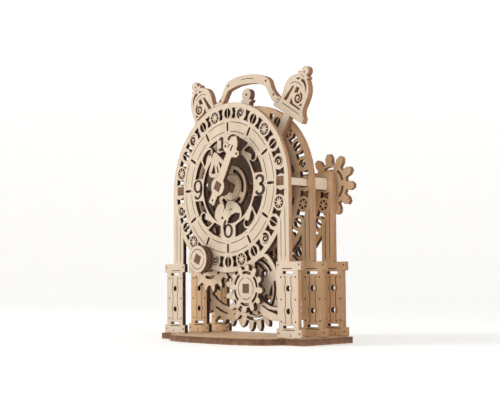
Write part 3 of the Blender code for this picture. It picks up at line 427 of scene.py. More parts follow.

# thin axis, tones, fibre direction, and how dark its cuts are: char, with painted shade on cuts that lie
# in shade
BEAM = (0, MILD, 90.0, 0.55)
SOCKET = (1, TAN, 0.0, 0.7)
BUSH = (1, TAN, 0.0, 0.85)
FLAT_PARTS = {
    "base_plate": (2, TAN, 90.0, 0.58),
    "front_plate": (1, PALE, 0.0, 0.92),
    "middle_plate": (1, TAN, 0.0, 0.92),
    "rear_plate": (1, TAN, 0.0, 0.92),
    "left_beam_inner": BEAM, "left_beam_outer": BEAM, "right_beam_inner": BEAM,
    "right_beam_outer": (0, PALE, 90.0, 0.50),
    "handle": (1, PALE, 90.0, 0.34),
    "left_bell": (1, PALE, 28.0, 0.36),
    "right_bell": (1, PALE, -28.0, 0.32),
    "finial": (1, PALE, 0.0, 0.60),
    "left_bell_socket": SOCKET, "right_bell_socket": SOCKET, "finial_socket": SOCKET,
    "knob_cap": (1, PALE, 30.0, 0.70),
    "knob_disc": (1, MILD, 80.0, 0.80),
    "knob_bush_front": BUSH, "knob_bush_middle": BUSH, "knob_bush_rear": BUSH,
    "knob_gear": (1, MILD, 55.0, 0.82),
    "spoked_wheel": (1, MILD, 20.0, 0.85),
    "lower_bush_front": BUSH, "lower_bush_middle": BUSH,
    "front_gear": (1, PALE, 65.0, 0.84),
    "big_gear": (1, PALE, 10.0, 0.84),
    "centre_bush_middle": BUSH, "centre_bush_rear": BUSH,
    "centre_disc": (1, MILD, 35.0, 0.85),
    "centre_pinion": (1, MILD, 0.0, 0.85),
    "minute_hand": (1, PALE, 30.0, 0.82),
    "hour_hand": (1, PALE, -15.0, 0.82),
    "rear_gear": (1, TAN, 40.0, 0.50),
}
# painted shade: the plates' opening walls take the darker level above, and the outer rims, in the light,
# this lighter one
RIM_BURNT = {"front_plate": 0.14, "middle_plate": 0.18, "rear_plate": 0.22}
# painted shade on the front faces behind the dial, and how strong it is for each part
PAINTED_SHADE_AMOUNT = {"middle_plate": 0.88, "rear_plate": 0.6, "centre_bush_middle": 0.6}


def repaint(node, finish):
    """Puts a finish into every material slot of a CAD node."""
    for place in NODES[node].material_slots:
        place.material = finish


FINISH = {}
for node, (axis, tones, grain, char_and_shade) in FLAT_PARTS.items():
    low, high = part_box(node)
    FINISH[node] = birch(node + "_birch", axis, low[axis] * 1000.0, (high[axis] - low[axis]) * 1000.0,
                         tones, grain, char_and_shade, RIM_BURNT.get(node), PAINTED_SHADE_AMOUNT.get(node, 0.0))
    repaint(node, FINISH[node])
print("painted", len(FINISH), "flat parts")

# %% [markdown]
# The square axles are strips of the same sheet, seen end on: their ends are brown from the cut, with
# the layers showing as bands, and their long sides are toasted.  The round peg that carries the rear
# gear is turned, so its rings run round its axis instead.  A picture of end grain would smear along
# the strip, so the bands are a sum on the distance from the strip's middle, or from the peg's axis.

# %% Axles and peg
AXLE_GLUE = 0.95                # glue lines this far either side of a square axle's middle
RINGS_PER_MM = 1.1              # of the turned peg
AXLE_LIGHT = (0.205, 0.105, 0.052)
AXLE_DARK = (0.090, 0.042, 0.021)


def axle_finish(name, x, z, turn, ringed):
    """End grain: bands across a turned square, or rings round a peg, darkened by char."""
    bench = Bench(name)
    px, py, pz = bench.point()
    a = math.radians(turn)
    u = (px - x) * math.cos(a) - (pz - z - FEET_Z) * math.sin(a)
    v = (px - x) * math.sin(a) + (pz - z - FEET_Z) * math.cos(a)
    if ringed:
        from_line = (((u * u + v * v) ** 0.5) * RINGS_PER_MM).sum("FRACT")
    else:
        from_line = abs(abs(u) - AXLE_GLUE)
    clear = from_line.rise(0.10, 0.32)
    grit = bench.noise(u * 2.0, py * 0.35, v * 2.0, 4.0, 0.6)
    tone = bench.blend(grit.rise(0.3, 0.7), AXLE_LIGHT, AXLE_DARK)
    tone = bench.blend((1.0 - clear) * 0.6, tone, CHAR)
    return bench.finish(Base_Color=tone, Roughness=0.72 + grit * 0.1,
                        Normal=bench.bump(0.3, 0.0001, grit))


# axis, turn of the square, and whether it is ringed
AXLES = {"knob_axle": (KNOB_AXIS, 25.0, False), "lower_axle": (LOWER_AXIS, 0.0, False),
         "minute_axle": (DIAL_AXIS, 29.7, False), "rear_gear_peg": (PEG_AXIS, 0.0, True)}
for node, ((x, z), turn, ringed) in AXLES.items():
    FINISH[node] = axle_finish(node + "_end_grain", x, z, turn, ringed)
    repaint(node, FINISH[node])
print("painted", len(AXLES), "axles")

# %% [markdown]
# Smoke from the cut stains the face beside it, a brown halo about half a millimetre wide.  A shader
# can't see how far a point is from the nearest cut, and the frame's mesh has no points inside its
# faces to carry such a fade.  So the halo is a ring of its own, laid along every outline.  First the
# outlines have to be found: the triangles on one face of the sheet, and of their edges those that
# only one triangle uses.

# %% Outlines of a flat part
WELD = 1e-7                     # metres: points closer than this are one
ON_PLANE = 3e-6


def welded(node):
    """Points and triangles of a CAD node with doubled points merged."""
    mesh = NODES[node].data
    mesh.calc_loop_triangles()
    spots = np.zeros(len(mesh.vertices) * 3)
    mesh.vertices.foreach_get("co", spots)
    spots = spots.reshape(-1, 3)
    corners = np.zeros(len(mesh.loop_triangles) * 3, np.int64)
    mesh.loop_triangles.foreach_get("vertices", corners)
    _, first, into = np.unique(np.round(spots / WELD).astype(np.int64), axis=0,
                               return_index=True, return_inverse=True)
    return spots[first], into.reshape(-1)[corners].reshape(-1, 3)


def outline(spots, triangles, axis, plane):
    """Directed edges round the triangles that lie on one plane, the material on their left."""
    flat = np.abs(spots[:, axis] - plane) < ON_PLANE
    cap = triangles[flat[triangles].all(1)]
    edges = np.concatenate((cap[:, (0, 1)], cap[:, (1, 2)], cap[:, (2, 0)]))
    size = len(spots)
    lone = ~np.isin(edges[:, 0] * size + edges[:, 1], edges[:, 1] * size + edges[:, 0])
    return edges[lone]


spots, triangles = welded("front_plate")
print("front plate outline edges:", len(outline(spots, triangles, 1, spots[:, 1].min())))

# %% [markdown]
# The ring is a very thin wedge, a hair proud at the cut and sinking just under the face at its inner
# edge.  Its points carry an attribute, burn, which is 1 at the cut and 0 at the inner edge, and the
# finish above reads it.  At each outline point the wedge leans inwards along the mitre of the two
# edges that meet there: the sum of their inward directions over one plus their dot product, held
# short at sharp corners.  All corners of a face are worked out together as arrays.

# %% Halo wedges
HALO_WIDE = 0.00050             # metres, as all sizes of the halo
HALO_LIFT = 0.000012
HALO_SINK = 0.3                 # share of the lift that the inner edge lies under the face
HALO_UNDER = 0.00002            # the wedge's lower corner, in from the cut and under the face
SHARPEST = 0.35                 # least divisor of a mitre


def unit(vectors):
    return vectors / np.maximum(np.linalg.norm(vectors, axis=1, keepdims=True), 1e-12)


def halo_of_face(spots, edges, out):
    """Rows of points (cut, inner edge, under the cut) along a face's outlines, and their quads."""
    after = np.full(len(spots), -1)
    before = np.full(len(spots), -1)
    order = np.full(len(spots), -1)
    after[edges[:, 0]] = edges[:, 1]
    before[edges[:, 1]] = edges[:, 0]
    here = edges[:, 0]
    count = len(here)
    order[here] = np.arange(count)
    inward_a = np.cross(out, unit(spots[here] - spots[before[here]]))
    inward_b = np.cross(out, unit(spots[after[here]] - spots[here]))
    dot = (inward_a * inward_b).sum(1, keepdims=True)
    lean = (inward_a + inward_b) / np.maximum(1.0 + dot, SHARPEST)
    cut = spots[here] + out * HALO_LIFT
    inner = spots[here] + lean * HALO_WIDE - out * HALO_LIFT * HALO_SINK
    under = spots[here] + lean * HALO_UNDER - out * HALO_UNDER
    k, n = np.arange(count), order[after[here]]
    quads = [np.stack((k + a * count, n + a * count, n + b * count, k + b * count), 1)
             for a, b in ((0, 1), (1, 2), (2, 0))]
    return np.concatenate((cut, inner, under)), np.concatenate(quads)


def halo_rings(node, axis):
    """Points, burn and quads of the halo on both faces of a flat part."""
    spots, triangles = welded(node)
    points, burn, quads, base = [], [], [], 0
    for plane, way in ((spots[:, axis].min(), -1.0), (spots[:, axis].max(), 1.0)):
        out = np.zeros(3)
        out[axis] = way
        rows, faces = halo_of_face(spots, outline(spots, triangles, axis, plane), out)
        points.append(rows)
        burn.append(np.repeat((1.0, 0.0, 1.0), len(rows) // 3))
        quads.append(faces + base)
        base += len(rows)
    return np.concatenate(points), np.concatenate(burn), np.concatenate(quads)


print("a halo is", HALO_WIDE / MM, "mm wide and", HALO_LIFT / MM, "mm proud at the cut")

# %% [markdown]
# A piece that is made here has to turn with the wheel or hand it lies on.  It could be parented to
# it, but the frame keeps its own list of bodies, so each piece is made in the frame's own space and
# then told which body it rides on.

# %% New pieces that ride on a body
def new_piece(name, points, faces, body, finish):
    """Mesh object in the frame that rides on a body."""
    mesh = bpy.data.meshes.new(name)
    mesh.from_pydata(points.tolist(), [], [list(map(int, face)) for face in faces])
    piece = placed(name, mesh)
    mesh.materials.append(finish)
    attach(piece, body)
    return piece


def add_halo(node):
    """The halo ring of one flat part, with its burn attribute."""
    points, burn, quads = halo_rings(node, FLAT_PARTS[node][0])
    piece = new_piece(node + "_halo", points, quads, BODY_OF[node], FINISH[node])
    piece.data.attributes.new("burn", "FLOAT", "POINT").data.foreach_set("value", burn)
    return len(quads)


# wholly inside the clock or behind another part
NO_HALO = ("knob_bush_middle", "knob_bush_rear", "lower_bush_middle", "centre_bush_middle",
           "left_bell_socket", "right_bell_socket", "finial_socket")
print("halo quads:", sum(add_halo(node) for node in FLAT_PARTS if node not in NO_HALO))

# %% [markdown]
# Every burnt line follows a path.  Blender's own curves could carry them, but three kinds of path are
# enough here, and as arrays of points they can be mirrored, turned and measured: a smooth one through
# a few points read off the photograph, a straight one, and an arc.

# %% Paths
def smooth(points, count):
    """Curve through points: each span is a cubic whose end slopes join the neighbours."""
    p = np.asarray(points, float)
    ends = np.concatenate((2 * p[:1] - p[1:2], p, 2 * p[-1:] - p[-2:-1]))
    t = np.linspace(0.0, len(p) - 1.0, count)
    k = np.minimum(t.astype(int), len(p) - 2)
    s = (t - k)[:, None]
    a, b, c, d = ends[k], ends[k + 1], ends[k + 2], ends[k + 3]
    return 0.5 * (2 * b + (c - a) * s + (2 * a - 5 * b + 4 * c - d) * s ** 2
                  + (3 * b - a - 3 * c + d) * s ** 3)


def straight(x0, z0, x1, z1, count=12):
    return np.linspace((x0, z0), (x1, z1), count)


def arc_path(radius, start, stop, x=0.0, z=DIAL_Z, step=3.0):
    """Arc between two clock angles round x, z, with a point about every step degrees."""
    count = max(4, int(abs(stop - start) / step) + 1)
    return clock_point(radius, np.linspace(start, stop, count), x, z)


print("a quarter of the dial's line has", len(arc_path(47.5, 0.0, 90.0)), "points")

# %% [markdown]
# Engraved lines are burnt about half a millimetre wide into the face.  They could be painted, but
# only a mesh keeps them crisp close up, and a groove that shallow shows as no more than a brown line.
# So each is a ribbon: a four-cornered profile carried along a path, its top a hair proud of the face
# and its underside sunk in it.  Round ends come from letting the width fall away at the very end.

# %% Ribbons along paths
LINE_WIDE = 0.56                # most burnt lines
PROUD = 0.022                   # a ribbon's top in front of the face
SUNK = 0.03                     # and its underside behind it
END_LEAST = 0.02                # square of the share of the width that is left at a round end


def ribbon(path, wide, face_y, closed=False, lift=PROUD, ends=0.5):
    """Profile of four corners carried along a path in x, z: width falls as a quarter circle."""
    path = np.asarray(path, float)
    count = len(path)
    ahead = np.roll(path, -1, 0) - path
    behind = path - np.roll(path, 1, 0)
    if not closed:
        ahead[-1], behind[0] = behind[-1], ahead[0]
    way = unit(unit(ahead) + unit(behind))
    side = np.stack((way[:, 1], -way[:, 0]), 1)
    wide = np.broadcast_to(np.asarray(wide, float), (count,)).copy()
    if not closed:
        run = np.concatenate(([0.0], np.cumsum(np.linalg.norm(ahead[:-1], axis=1))))
        near = np.minimum(run, run[-1] - run) / (ends * wide)
        wide *= np.sqrt(np.clip(1.0 - (1.0 - np.clip(near, 0.0, 1.0)) ** 2, END_LEAST, 1.0))
    half = side * (wide / 2.0)[:, None]
    rows = []
    for sign, y in ((-1.0, -lift), (1.0, -lift), (1.0, SUNK), (-1.0, SUNK)):
        spot = path + sign * half
        rows.append(in_frame(spot[:, 0], face_y + y, spot[:, 1]))
    points = np.stack(rows, 1).reshape(-1, 3)
    k = np.arange(count if closed else count - 1)
    n = (k + 1) % count
    faces = [np.stack((k * 4 + a, k * 4 + b, n * 4 + b, n * 4 + a), 1)
             for a, b in ((0, 1), (1, 2), (2, 3), (3, 0))]
    faces = np.concatenate(faces).tolist()
    if not closed:
        last = (count - 1) * 4
        faces += [[0, 3, 2, 1], [last, last + 1, last + 2, last + 3]]
    return points, faces


print("a ribbon of 12 points has", len(ribbon(straight(0, 0, 5, 0), LINE_WIDE, 0.0)[1]), "faces")

# %% [markdown]
# The dots are pits made by a short pulse of the beam.  A hole could be cut for each, but the plate's
# own mesh stays as it is, so a dot is a small dished disc set on the face: rings of points round a
# middle, the height following the square of the radius.  There are more than seventy, so each has
# only forty faces.

# %% Pits
PIT_FLOOR = 0.008               # a pit's middle in front of the face
PIT_RISE = 0.016                # and its rim in front of its middle


def pit(x, z, radius, face_y, sides=10):
    """Disc on a polar grid, floor + rise * share ** 2 high at a share of its radius, closed below."""
    turn = np.linspace(0.0, 2.0 * math.pi, sides, endpoint=False)
    rings = []
    for share, y in ((0.5, -(PIT_FLOOR + PIT_RISE * 0.25)), (1.0, -(PIT_FLOOR + PIT_RISE)), (1.0, SUNK)):
        rings.append(in_frame(x + radius * share * np.cos(turn), face_y + y,
                              z + radius * share * np.sin(turn)))
    points = np.concatenate(rings + [in_frame(x, face_y - PIT_FLOOR, z)[None],
                                     in_frame(x, face_y + SUNK, z)[None]])
    k = np.arange(sides)
    n = (k + 1) % sides
    faces = np.stack((k, n, n + sides, k + sides), 1).tolist()
    faces += np.stack((k + sides, n + sides, n + 2 * sides, k + 2 * sides), 1).tolist()
    faces += np.stack((n, k, np.full(sides, 3 * sides)), 1).tolist()
    faces += np.stack((k + 2 * sides, n + 2 * sides, np.full(sides, 3 * sides + 1)), 1).tolist()
    return points, faces


print("a pit has", len(pit(0.0, 0.0, 1.0, 0.0)[1]), "faces")

# %% [markdown]
# The lines of one drawing could be an object each, but that would be hundreds, so they are joined into
# one piece in one colour.  A path that is mirrored turns its ribbon inside out, so Blender turns all
# faces outwards at the end.

# %% Engraving
def joined(parts):
    """Several (points, faces) pairs as one."""
    points, faces, base = [], [], 0
    for spots, polygons in parts:
        points.append(spots)
        faces += [[corner + base for corner in polygon] for polygon in polygons]
        base += len(spots)
    return np.concatenate(points), faces


def outward(piece):
    """Turns every face of a closed piece outwards."""
    work = bmesh.new()
    work.from_mesh(piece.data)
    bmesh.ops.recalc_face_normals(work, faces=work.faces)
    work.to_mesh(piece.data)
    work.free()
    return piece


def engraved_finish(name, light, dark):
    """Char brown that wanders between two tones along the line."""
    bench = Bench(name)
    x, y, z = bench.point()
    wander = bench.noise(x * 0.9, y * 0.5, z * 0.9, 3.0, 0.6)
    tone = bench.blend(wander.rise(0.32, 0.68), light, dark)
    return bench.finish(Base_Color=tone, Roughness=0.74 + wander * 0.12,
                        Normal=bench.bump(0.3, 0.0001, wander))


ENGRAVED = engraved_finish("engraved_brown", (0.098, 0.046, 0.022), (0.045, 0.020, 0.011))
CUT_DARK = engraved_finish("numeral_char", (0.060, 0.026, 0.014), (0.026, 0.011, 0.006))


def engrave(name, node, parts, finish=ENGRAVED):
    """Joins ribbons and pits into one piece that rides with a node."""
    points, faces = joined(parts)
    return outward(new_piece(name, points, faces, BODY_OF[node], finish))


print("engraving colours ready")

# %% [markdown]
# The dial has two fine circles that stop short of each hour mark, a burnt line along both sides of
# every mark, and a pit inside it.  Each could be drawn by hand, but arcs and pits are the same few
# shapes used over and over, so twelve steps of a loop draw the whole ring.  Two short strokes mark
# the bracket under the hands.

# %% Dial rings
RING_LINES = ((47.5, 2.6), (40.7, 3.0))     # radius, and degrees left open beside an hour mark
RING_PITS = 38.9
TICK_ENDS = (41.2, 47.3)        # radii between which an hour mark's burnt sides run
TICK_SIDE = 0.85                # and how far they stand from its middle
BRACKET_MARKS = ((1.5, 89.8, 5.0, 91.0, 0.8), (-3.6, 92.6, -5.0, 88.9, 0.5))    # ends, then width

rings = []
for angle in range(0, 360, 30):
    for radius, stop_short in RING_LINES:
        rings.append(ribbon(arc_path(radius, angle + stop_short, angle + 30 - stop_short),
                            LINE_WIDE, 0.0))
    rings.append(pit(*clock_point(RING_PITS, float(angle)), 0.42, 0.0))
    for hand in (-1.0, 1.0):
        near, far = [clock_point(radius, angle + math.degrees(hand * TICK_SIDE / radius))
                     for radius in TICK_ENDS]
        rings.append(ribbon(np.linspace(near, far, 4), 0.34, 0.0, ends=0.2))
for *line, wide in BRACKET_MARKS:
    rings.append(ribbon(straight(*line, 6), wide, 0.0))
engrave("dial_rings", "front_plate", rings)
print("dial rings:", len(rings), "strokes")

# %% [markdown]
# The ornament band alternates rosettes and scrolls, cut out of the plate.  Their thin bridges char
# on both sides.  A darker material would darken the whole band, so each ornament gets a burnt rim of
# its own: a full circle round a rosette, two thirds of one round a scroll.  The scroll beside the finger
# knob is only engraved, since the knob's bush needs the wood there.

# %% Ornament rims
ORNAMENT_R = 54.15              # middle of the band
ROSETTE_RIM = 3.95
SCROLL_RIM = 3.7
ENGRAVED_SCROLL = 195.0         # clock angle of the scroll beside the knob


def scroll_path(angle, count=44):
    """Spiral whose radius falls evenly from 2.6 to 0.5 mm over 1.3 turns."""
    share = np.linspace(0.0, 1.0, count)
    x, z = clock_point(ORNAMENT_R, angle)
    return clock_point(2.6 - 2.1 * share, angle + 190.0 + 468.0 * share, x, z)


rims = []
for angle in range(15, 360, 30):
    x, z = clock_point(ORNAMENT_R, angle)
    if angle % 60 == 45:
        rims.append(ribbon(clock_point(ROSETTE_RIM, np.arange(0.0, 360.0, 15.0), x, z), 0.62, 0.0,
                           closed=True))
    else:
        rims.append(ribbon(arc_path(SCROLL_RIM, angle + 200.0, angle + 440.0, x, z, 12.0), 0.6, 0.0))
engrave("ornament_rims", "front_plate", rims)
engrave("knob_side_scroll", "front_plate", [ribbon(scroll_path(ENGRAVED_SCROLL), 1.2, 0.0)], CUT_DARK)
print("ornament rims:", len(rims))

# %% [markdown]
# The numerals are burnt deep into their pads, so they read almost black.  A typeface would be quick,
# but these were drawn with strokes that swell and thin.  So a stroke is a smooth path with a width at
# each of its points, run through the same ribbon, and a closed bowl is an oval ring.

# %% Pen strokes
NIB = 1.35                      # every width below is drawn this much bolder
PEN_LEAST = 0.35
PEN_PROUD = 0.026


def pen(points, widths, count=36):
    """Stroke through points whose width follows a smooth curve of its own."""
    wide = smooth(np.asarray(widths, float)[:, None], count)[:, 0] * NIB
    return ribbon(smooth(points, count), np.maximum(wide, PEN_LEAST), 0.0, ends=0.35, lift=PEN_PROUD)


def oval(x, z, half_x, half_z, thick, thin):
    """Closed pen ring, thick at its sides and thin at its top and bottom."""
    turn = np.linspace(0.0, 2.0 * math.pi, 37)[:-1]
    path = np.stack((x + half_x * np.cos(turn), z + half_z * np.sin(turn)), 1)
    wide = (thin + (thick - thin) * np.cos(turn) ** 2) * NIB
    return ribbon(path, wide, 0.0, closed=True, lift=PEN_PROUD)


print("a pen stroke has", len(pen([(0, 0), (1, 2), (3, 3)], [1.0, 2.0, 1.0])[0]), "points")

# %% [markdown]
# The four numerals stand on the pads of the minute band.  Tracing their outlines would take hundreds
# of points.  As strokes they take a few, each list running the way that the pen would go.

# %% Numerals
twelve = [
    pen([(-5.8, 144.3), (-5.8, 139.6), (-5.8, 135.0)], [2.0, 1.9, 2.1], count=12),
    pen([(-10.2, 134.9), (-6.4, 134.8), (-2.6, 134.9)], [1.2, 1.7, 1.2], count=10),
    pen([(-9.4, 141.9), (-7.9, 142.7), (-6.4, 143.9)], [1.0, 1.3, 1.2], count=8),
    pen([(1.2, 140.6), (2.0, 142.9), (5.0, 144.2), (8.2, 142.9), (8.7, 140.6), (7.1, 138.4),
         (4.2, 136.6), (2.0, 135.2)], [2.2, 1.7, 1.2, 1.9, 2.3, 1.6, 1.2, 1.2]),
    pen([(1.6, 134.9), (5.0, 135.2), (9.2, 134.9)], [1.2, 1.9, 1.4], count=12),
]
three = [
    pen([(29.6, 110.1), (31.1, 112.1), (33.7, 112.7), (36.3, 111.3), (36.6, 109.0), (35.3, 107.3),
         (32.9, 106.7)], [1.9, 1.6, 1.5, 2.0, 2.0, 1.6, 1.3]),
    pen([(32.9, 106.7), (36.1, 105.7), (37.4, 103.0), (36.2, 100.5), (33.6, 99.5), (31.0, 100.2),
         (29.6, 102.1)], [1.3, 1.7, 2.2, 1.9, 1.5, 1.7, 2.0]),
]
nine = [
    oval(-33.2, 109.6, 3.8, 4.2, 1.9, 1.2),
    pen([(-29.4, 109.6), (-29.5, 106.2), (-30.5, 102.9), (-32.8, 100.8), (-35.2, 100.9),
         (-36.5, 102.6)], [1.9, 1.9, 1.6, 1.3, 1.5, 2.0]),
]
six = [
    oval(0.3, 75.0, 3.8, 4.4, 1.9, 1.2),
    pen([(-3.6, 75.2), (-3.9, 78.4), (-3.4, 81.0), (-2.0, 83.0)], [1.9, 2.0, 1.7, 1.3]),
]
for word, strokes in (("twelve", twelve), ("three", three), ("nine", nine), ("six", six)):
    engrave("numeral_" + word, "front_plate", strokes, CUT_DARK)
print("numerals: 12 3 6 9")

# %% [markdown]
# Each leg carries two upright lines, and each column a panel: two lines that swell round a pair of
# holes, a short rule across each end of them, a rule under the cap and one over the plinth, a tick at
# the foot, and pits like nail heads.  Six columns could each be drawn, but the same drawing serves
# both columns of all three plates, mirrored by the sign of x.

# %% Columns and legs
COLUMN_X = 60.4                 # a column's middle
COLUMN_HOLES = (33.5, 18.0)     # heights of its two holes
PANEL_TOP, PANEL_FOOT = 41.3, 10.3
PANEL_HALF, PANEL_SWELL = 2.6, 1.2
PANEL_ENDS = (41.4, 10.2)       # heights of the short rules across the panel's ends
SHORT_RULE = (2.4, 4.2)         # which run between these distances from the column's middle
NAIL_R = 0.7
NAILS = ([(x, z) for z in (41.2, 26.0, 11.0) for x in (53.6, 67.2)]
         + [(x, z) for z in (49.6, 3.0) for x in (50.8, 70.6)])

# straight lines of the right-hand side: two ends, how many points, and width
RULES = ((54.2, 47.0, 64.6, 47.0, 12, 0.6), (54.2, 5.4, 67.0, 5.4, 12, 0.6),
         (62.4, 0.3, 62.4, 2.9, 6, 0.5))
LEG_LINES = ((54.0, 52.4, 54.0, 82.0, 10, LINE_WIDE), (58.0, 52.4, 58.0, 90.0, 10, LINE_WIDE))


def panel_line(side, hand):
    """Half width that swells round each hole as a bell curve of the height."""
    z = np.linspace(PANEL_TOP, PANEL_FOOT, 52)
    half = PANEL_HALF + sum(PANEL_SWELL * np.exp(-((z - hole) / 2.0) ** 2) for hole in COLUMN_HOLES)
    return np.stack((side * (COLUMN_X + hand * half), z), 1)


def ruled(side, lines, face_y):
    """Straight ribbons, mirrored by the sign of side."""
    return [ribbon(straight(side * x0, z0, side * x1, z1, count), wide, face_y)
            for x0, z0, x1, z1, count, wide in lines]


def column_drawing(side, face_y):
    """Lines and pits of one column and the leg above it."""
    parts = []
    for hand in (-1.0, 1.0):
        parts.append(ribbon(panel_line(side, hand), LINE_WIDE, face_y))
        inner, outer = [COLUMN_X + hand * off for off in SHORT_RULE]
        parts += ruled(side, [(inner, z, outer, z, 6, 0.6) for z in PANEL_ENDS], face_y)
    nails = [pit(side * x, z, NAIL_R, face_y) for x, z in NAILS]
    return parts + ruled(side, RULES, face_y) + nails + ruled(side, LEG_LINES, face_y)


for node in ("front_plate", "middle_plate", "rear_plate"):
    face_y = front_of(node)
    engrave(node + "_columns", node, column_drawing(1.0, face_y) + column_drawing(-1.0, face_y))
print("columns drawn on three plates")

# %% [markdown]
# The bells and the handle lean a little, as a hand-assembled kit does.  Their drawing could be placed
# point by point on the leaning shape, but it is plainer laid out in each bell's own frame, across and
# along it, and carried to the plate by the same two turns that place the bell.

# %% Bells and handle
TOP_Y = front_of("handle")
TOP_LEAN = 2.8                  # degrees clockwise that the top pieces lean together
TOP_PIVOT_Z = 170.0             # about this height on the middle line
BELL_LEAN = 28.0                # degrees outward of each bell
BELL_FOOT = (44.6, 163.9)       # middle of the right bell's foot, x and z, before the lean


def leaned(points):
    """Turns plate points clockwise about the top's pivot."""
    turn = math.radians(TOP_LEAN)
    x, z = np.asarray(points, float)[:, 0], np.asarray(points, float)[:, 1] - TOP_PIVOT_Z
    return np.stack((x * math.cos(turn) + z * math.sin(turn),
                     TOP_PIVOT_Z - x * math.sin(turn) + z * math.cos(turn)), 1)


def on_bell(points, side):
    """Bell points (across, along) leaned outward and set at the bell's foot."""
    turn = math.radians(BELL_LEAN)
    u, v = np.asarray(points, float)[:, 0], np.asarray(points, float)[:, 1]
    x = BELL_FOOT[0] + u * math.cos(turn) + v * math.sin(turn)
    z = BELL_FOOT[1] - u * math.sin(turn) + v * math.cos(turn)
    return leaned(np.stack((side * x, z), 1))


def bell_drawing(side):
    """Foot line, brow, neck line and the knob's pit, across and along the bell."""
    foot = on_bell(np.linspace((-8.8, 0.4), (12.2, -0.4), 14), side)
    brow = on_bell(smooth([(-6.6, 15.2), (-5.0, 17.3), (-2.9, 18.4), (0.7, 18.9), (5.3, 18.1)], 18), side)
    neck = on_bell(np.linspace((-0.9, 25.0), (3.5, 24.6), 8), side)
    dot = on_bell([(1.6, 27.8)], side)[0]
    return [ribbon(foot, 0.6, TOP_Y), ribbon(brow, 0.5, TOP_Y), ribbon(neck, 0.5, TOP_Y),
            pit(dot[0], dot[1], 0.75, TOP_Y)]


for word, side in (("left", -1.0), ("right", 1.0)):
    engrave(word + "_bell_lines", word + "_bell", bell_drawing(side))
grip = leaned(smooth([(-6.6, 188.6), (0.4, 188.9), (7.6, 188.3)], 14))
hook = on_bell(smooth([(-15.0, 0.0), (-13.6, 0.2), (-12.6, 0.9), (-12.3, 1.9)], 8), 1.0)
engrave("handle_lines", "handle", [ribbon(grip, 0.5, TOP_Y), ribbon(hook, 0.55, TOP_Y)])
print("bells and handle drawn at y", TOP_Y)

# %% [markdown]
# The wheels carry thin circles, broken where the cutting started, and burnt rims along their curved
# slots.  A finish that darkens near a radius would have no gaps, so both are ribbons on arcs round
# the wheel's own axis.  The minute hand's leaf ends in one short engraved slit.

# %% Wheels and minute hand
SLOT_RIM_OFF = 0.18             # a burnt rim's middle outside its slot
SLOT_RIM_WIDE = 0.38
LEAF_SLIT = [(11.2, 133.3), (11.5, 134.6), (12.5, 135.6), (13.9, 135.8)]    # x, z along the slit

# axis, middle radius and half width of the slots, how many, their sweep, and the first one's angle
SLOTS = {"front_gear": (LOWER_AXIS, 11.3, 0.65, 6, 42.0, 5.0),
         "big_gear": (LOWER_AXIS, 21.4, 0.75, 5, 52.0, 30.0),
         "knob_gear": (KNOB_AXIS, 13.6, 0.75, 6, 44.0, 0.0)}


def slot_rims(node):
    """Burnt rims along both sides of a wheel's curved slots, which stand evenly round it."""
    (x, z), radius, half_wide, count, sweep, first = SLOTS[node]
    parts = []
    for k in range(count):
        middle = first + 360.0 / count * k
        for off in (-half_wide - SLOT_RIM_OFF, half_wide + SLOT_RIM_OFF):
            path = arc_path(radius + off, middle - sweep / 2.0, middle + sweep / 2.0, x, z, 6.0)
            parts.append(ribbon(path, SLOT_RIM_WIDE, front_of(node)))
    return parts


def broken_circle(node, axis, radius, gaps):
    """Circle round an axis left open for a few degrees at each clock angle in gaps."""
    parts = []
    for start, stop in zip(gaps, gaps[1:] + [gaps[0] + 360.0]):
        parts.append(ribbon(arc_path(radius, start + 5.0, stop - 5.0, *axis, 8.0), LINE_WIDE,
                            front_of(node)))
    return parts


for node in SLOTS:
    engrave(node + "_rims", node, slot_rims(node))
engrave("front_gear_circle", "front_gear",
        broken_circle("front_gear", LOWER_AXIS, 7.6, [0.0, 130.0, 215.0]))
engrave("minute_hand_slit", "minute_hand",
        [ribbon(smooth(LEAF_SLIT, 10), 0.9, front_of("minute_hand"))], CUT_DARK)
engrave("knob_circle", "knob_cap", broken_circle("knob_cap", KNOB_AXIS, 7.3, [80.0, 260.0]))
engrave("centre_disc_circle", "centre_disc",
        broken_circle("centre_disc", DIAL_AXIS, 9.6, [40.0, 220.0]))
print("wheels drawn:", ", ".join(SLOTS))

# %% [markdown]
# The base board has a line that follows its bowed front, a superellipse, which is an ellipse with
# squarer shoulders.  The board lies flat and ribbons are made upright, so this one is made upright
# like the others and then laid down by swapping two coordinates, which saves a second ribbon maker.

# %% Line on the base board
BOW_HALF = 56.0                 # half width of the bowed front
BOW_DEPTH = 22.0                # how far it comes forward of its shoulders
SHOULDER_Y = -1.1               # which lie here, in plate millimetres
BOW_POWER = 2.5
BOARD_TOP = 4.5                 # the board's upper face, millimetres above the table


def bow(share, inset):
    """Half the superellipse of the base's front, |x / a| ** p + |y / b| ** p = 1, drawn in."""
    c, s = np.cos(np.pi * share), np.sin(np.pi * share)
    return np.stack(((BOW_HALF - inset) * np.sign(c) * np.abs(c) ** (2.0 / BOW_POWER),
                     SHOULDER_Y - (BOW_DEPTH - inset) * np.abs(s) ** (2.0 / BOW_POWER)), 1)


points, faces = ribbon(bow(np.linspace(0.06, 0.94, 60), 4.0), 0.42, 0.0)
height = points[:, 1] - FACE_Y * MM
laid = np.stack((points[:, 0], points[:, 2] + (FACE_Y - FEET_Z) * MM, BOARD_TOP * MM - height), 1)
outward(new_piece("base_line", laid, faces, "clock_frame", ENGRAVED))
print("base line:", len(faces), "faces")

# %% [markdown]
# The photograph was taken on a white sweep: a floor that curves up into a wall with no corner.  A
# floor and a wall would show a line where they meet.  I turn a profile, flat, then a quarter circle,
# then upright, round the clock, so that every view has the same plain pale ground.  A faint glow of
# its own keeps the ground white while the lamps stay weak enough for the wood.

# %% Stage
SWEEP_FLAT, SWEEP_BEND, SWEEP_HIGH = 1.5, 0.7, 2.4      # metres
SWEEP_MIDDLE = 0.02             # radius of the disc that closes the floor's middle
SWEEP_UNDER = 0.0001            # the floor lies this far below the base board
GLOW = 0.235


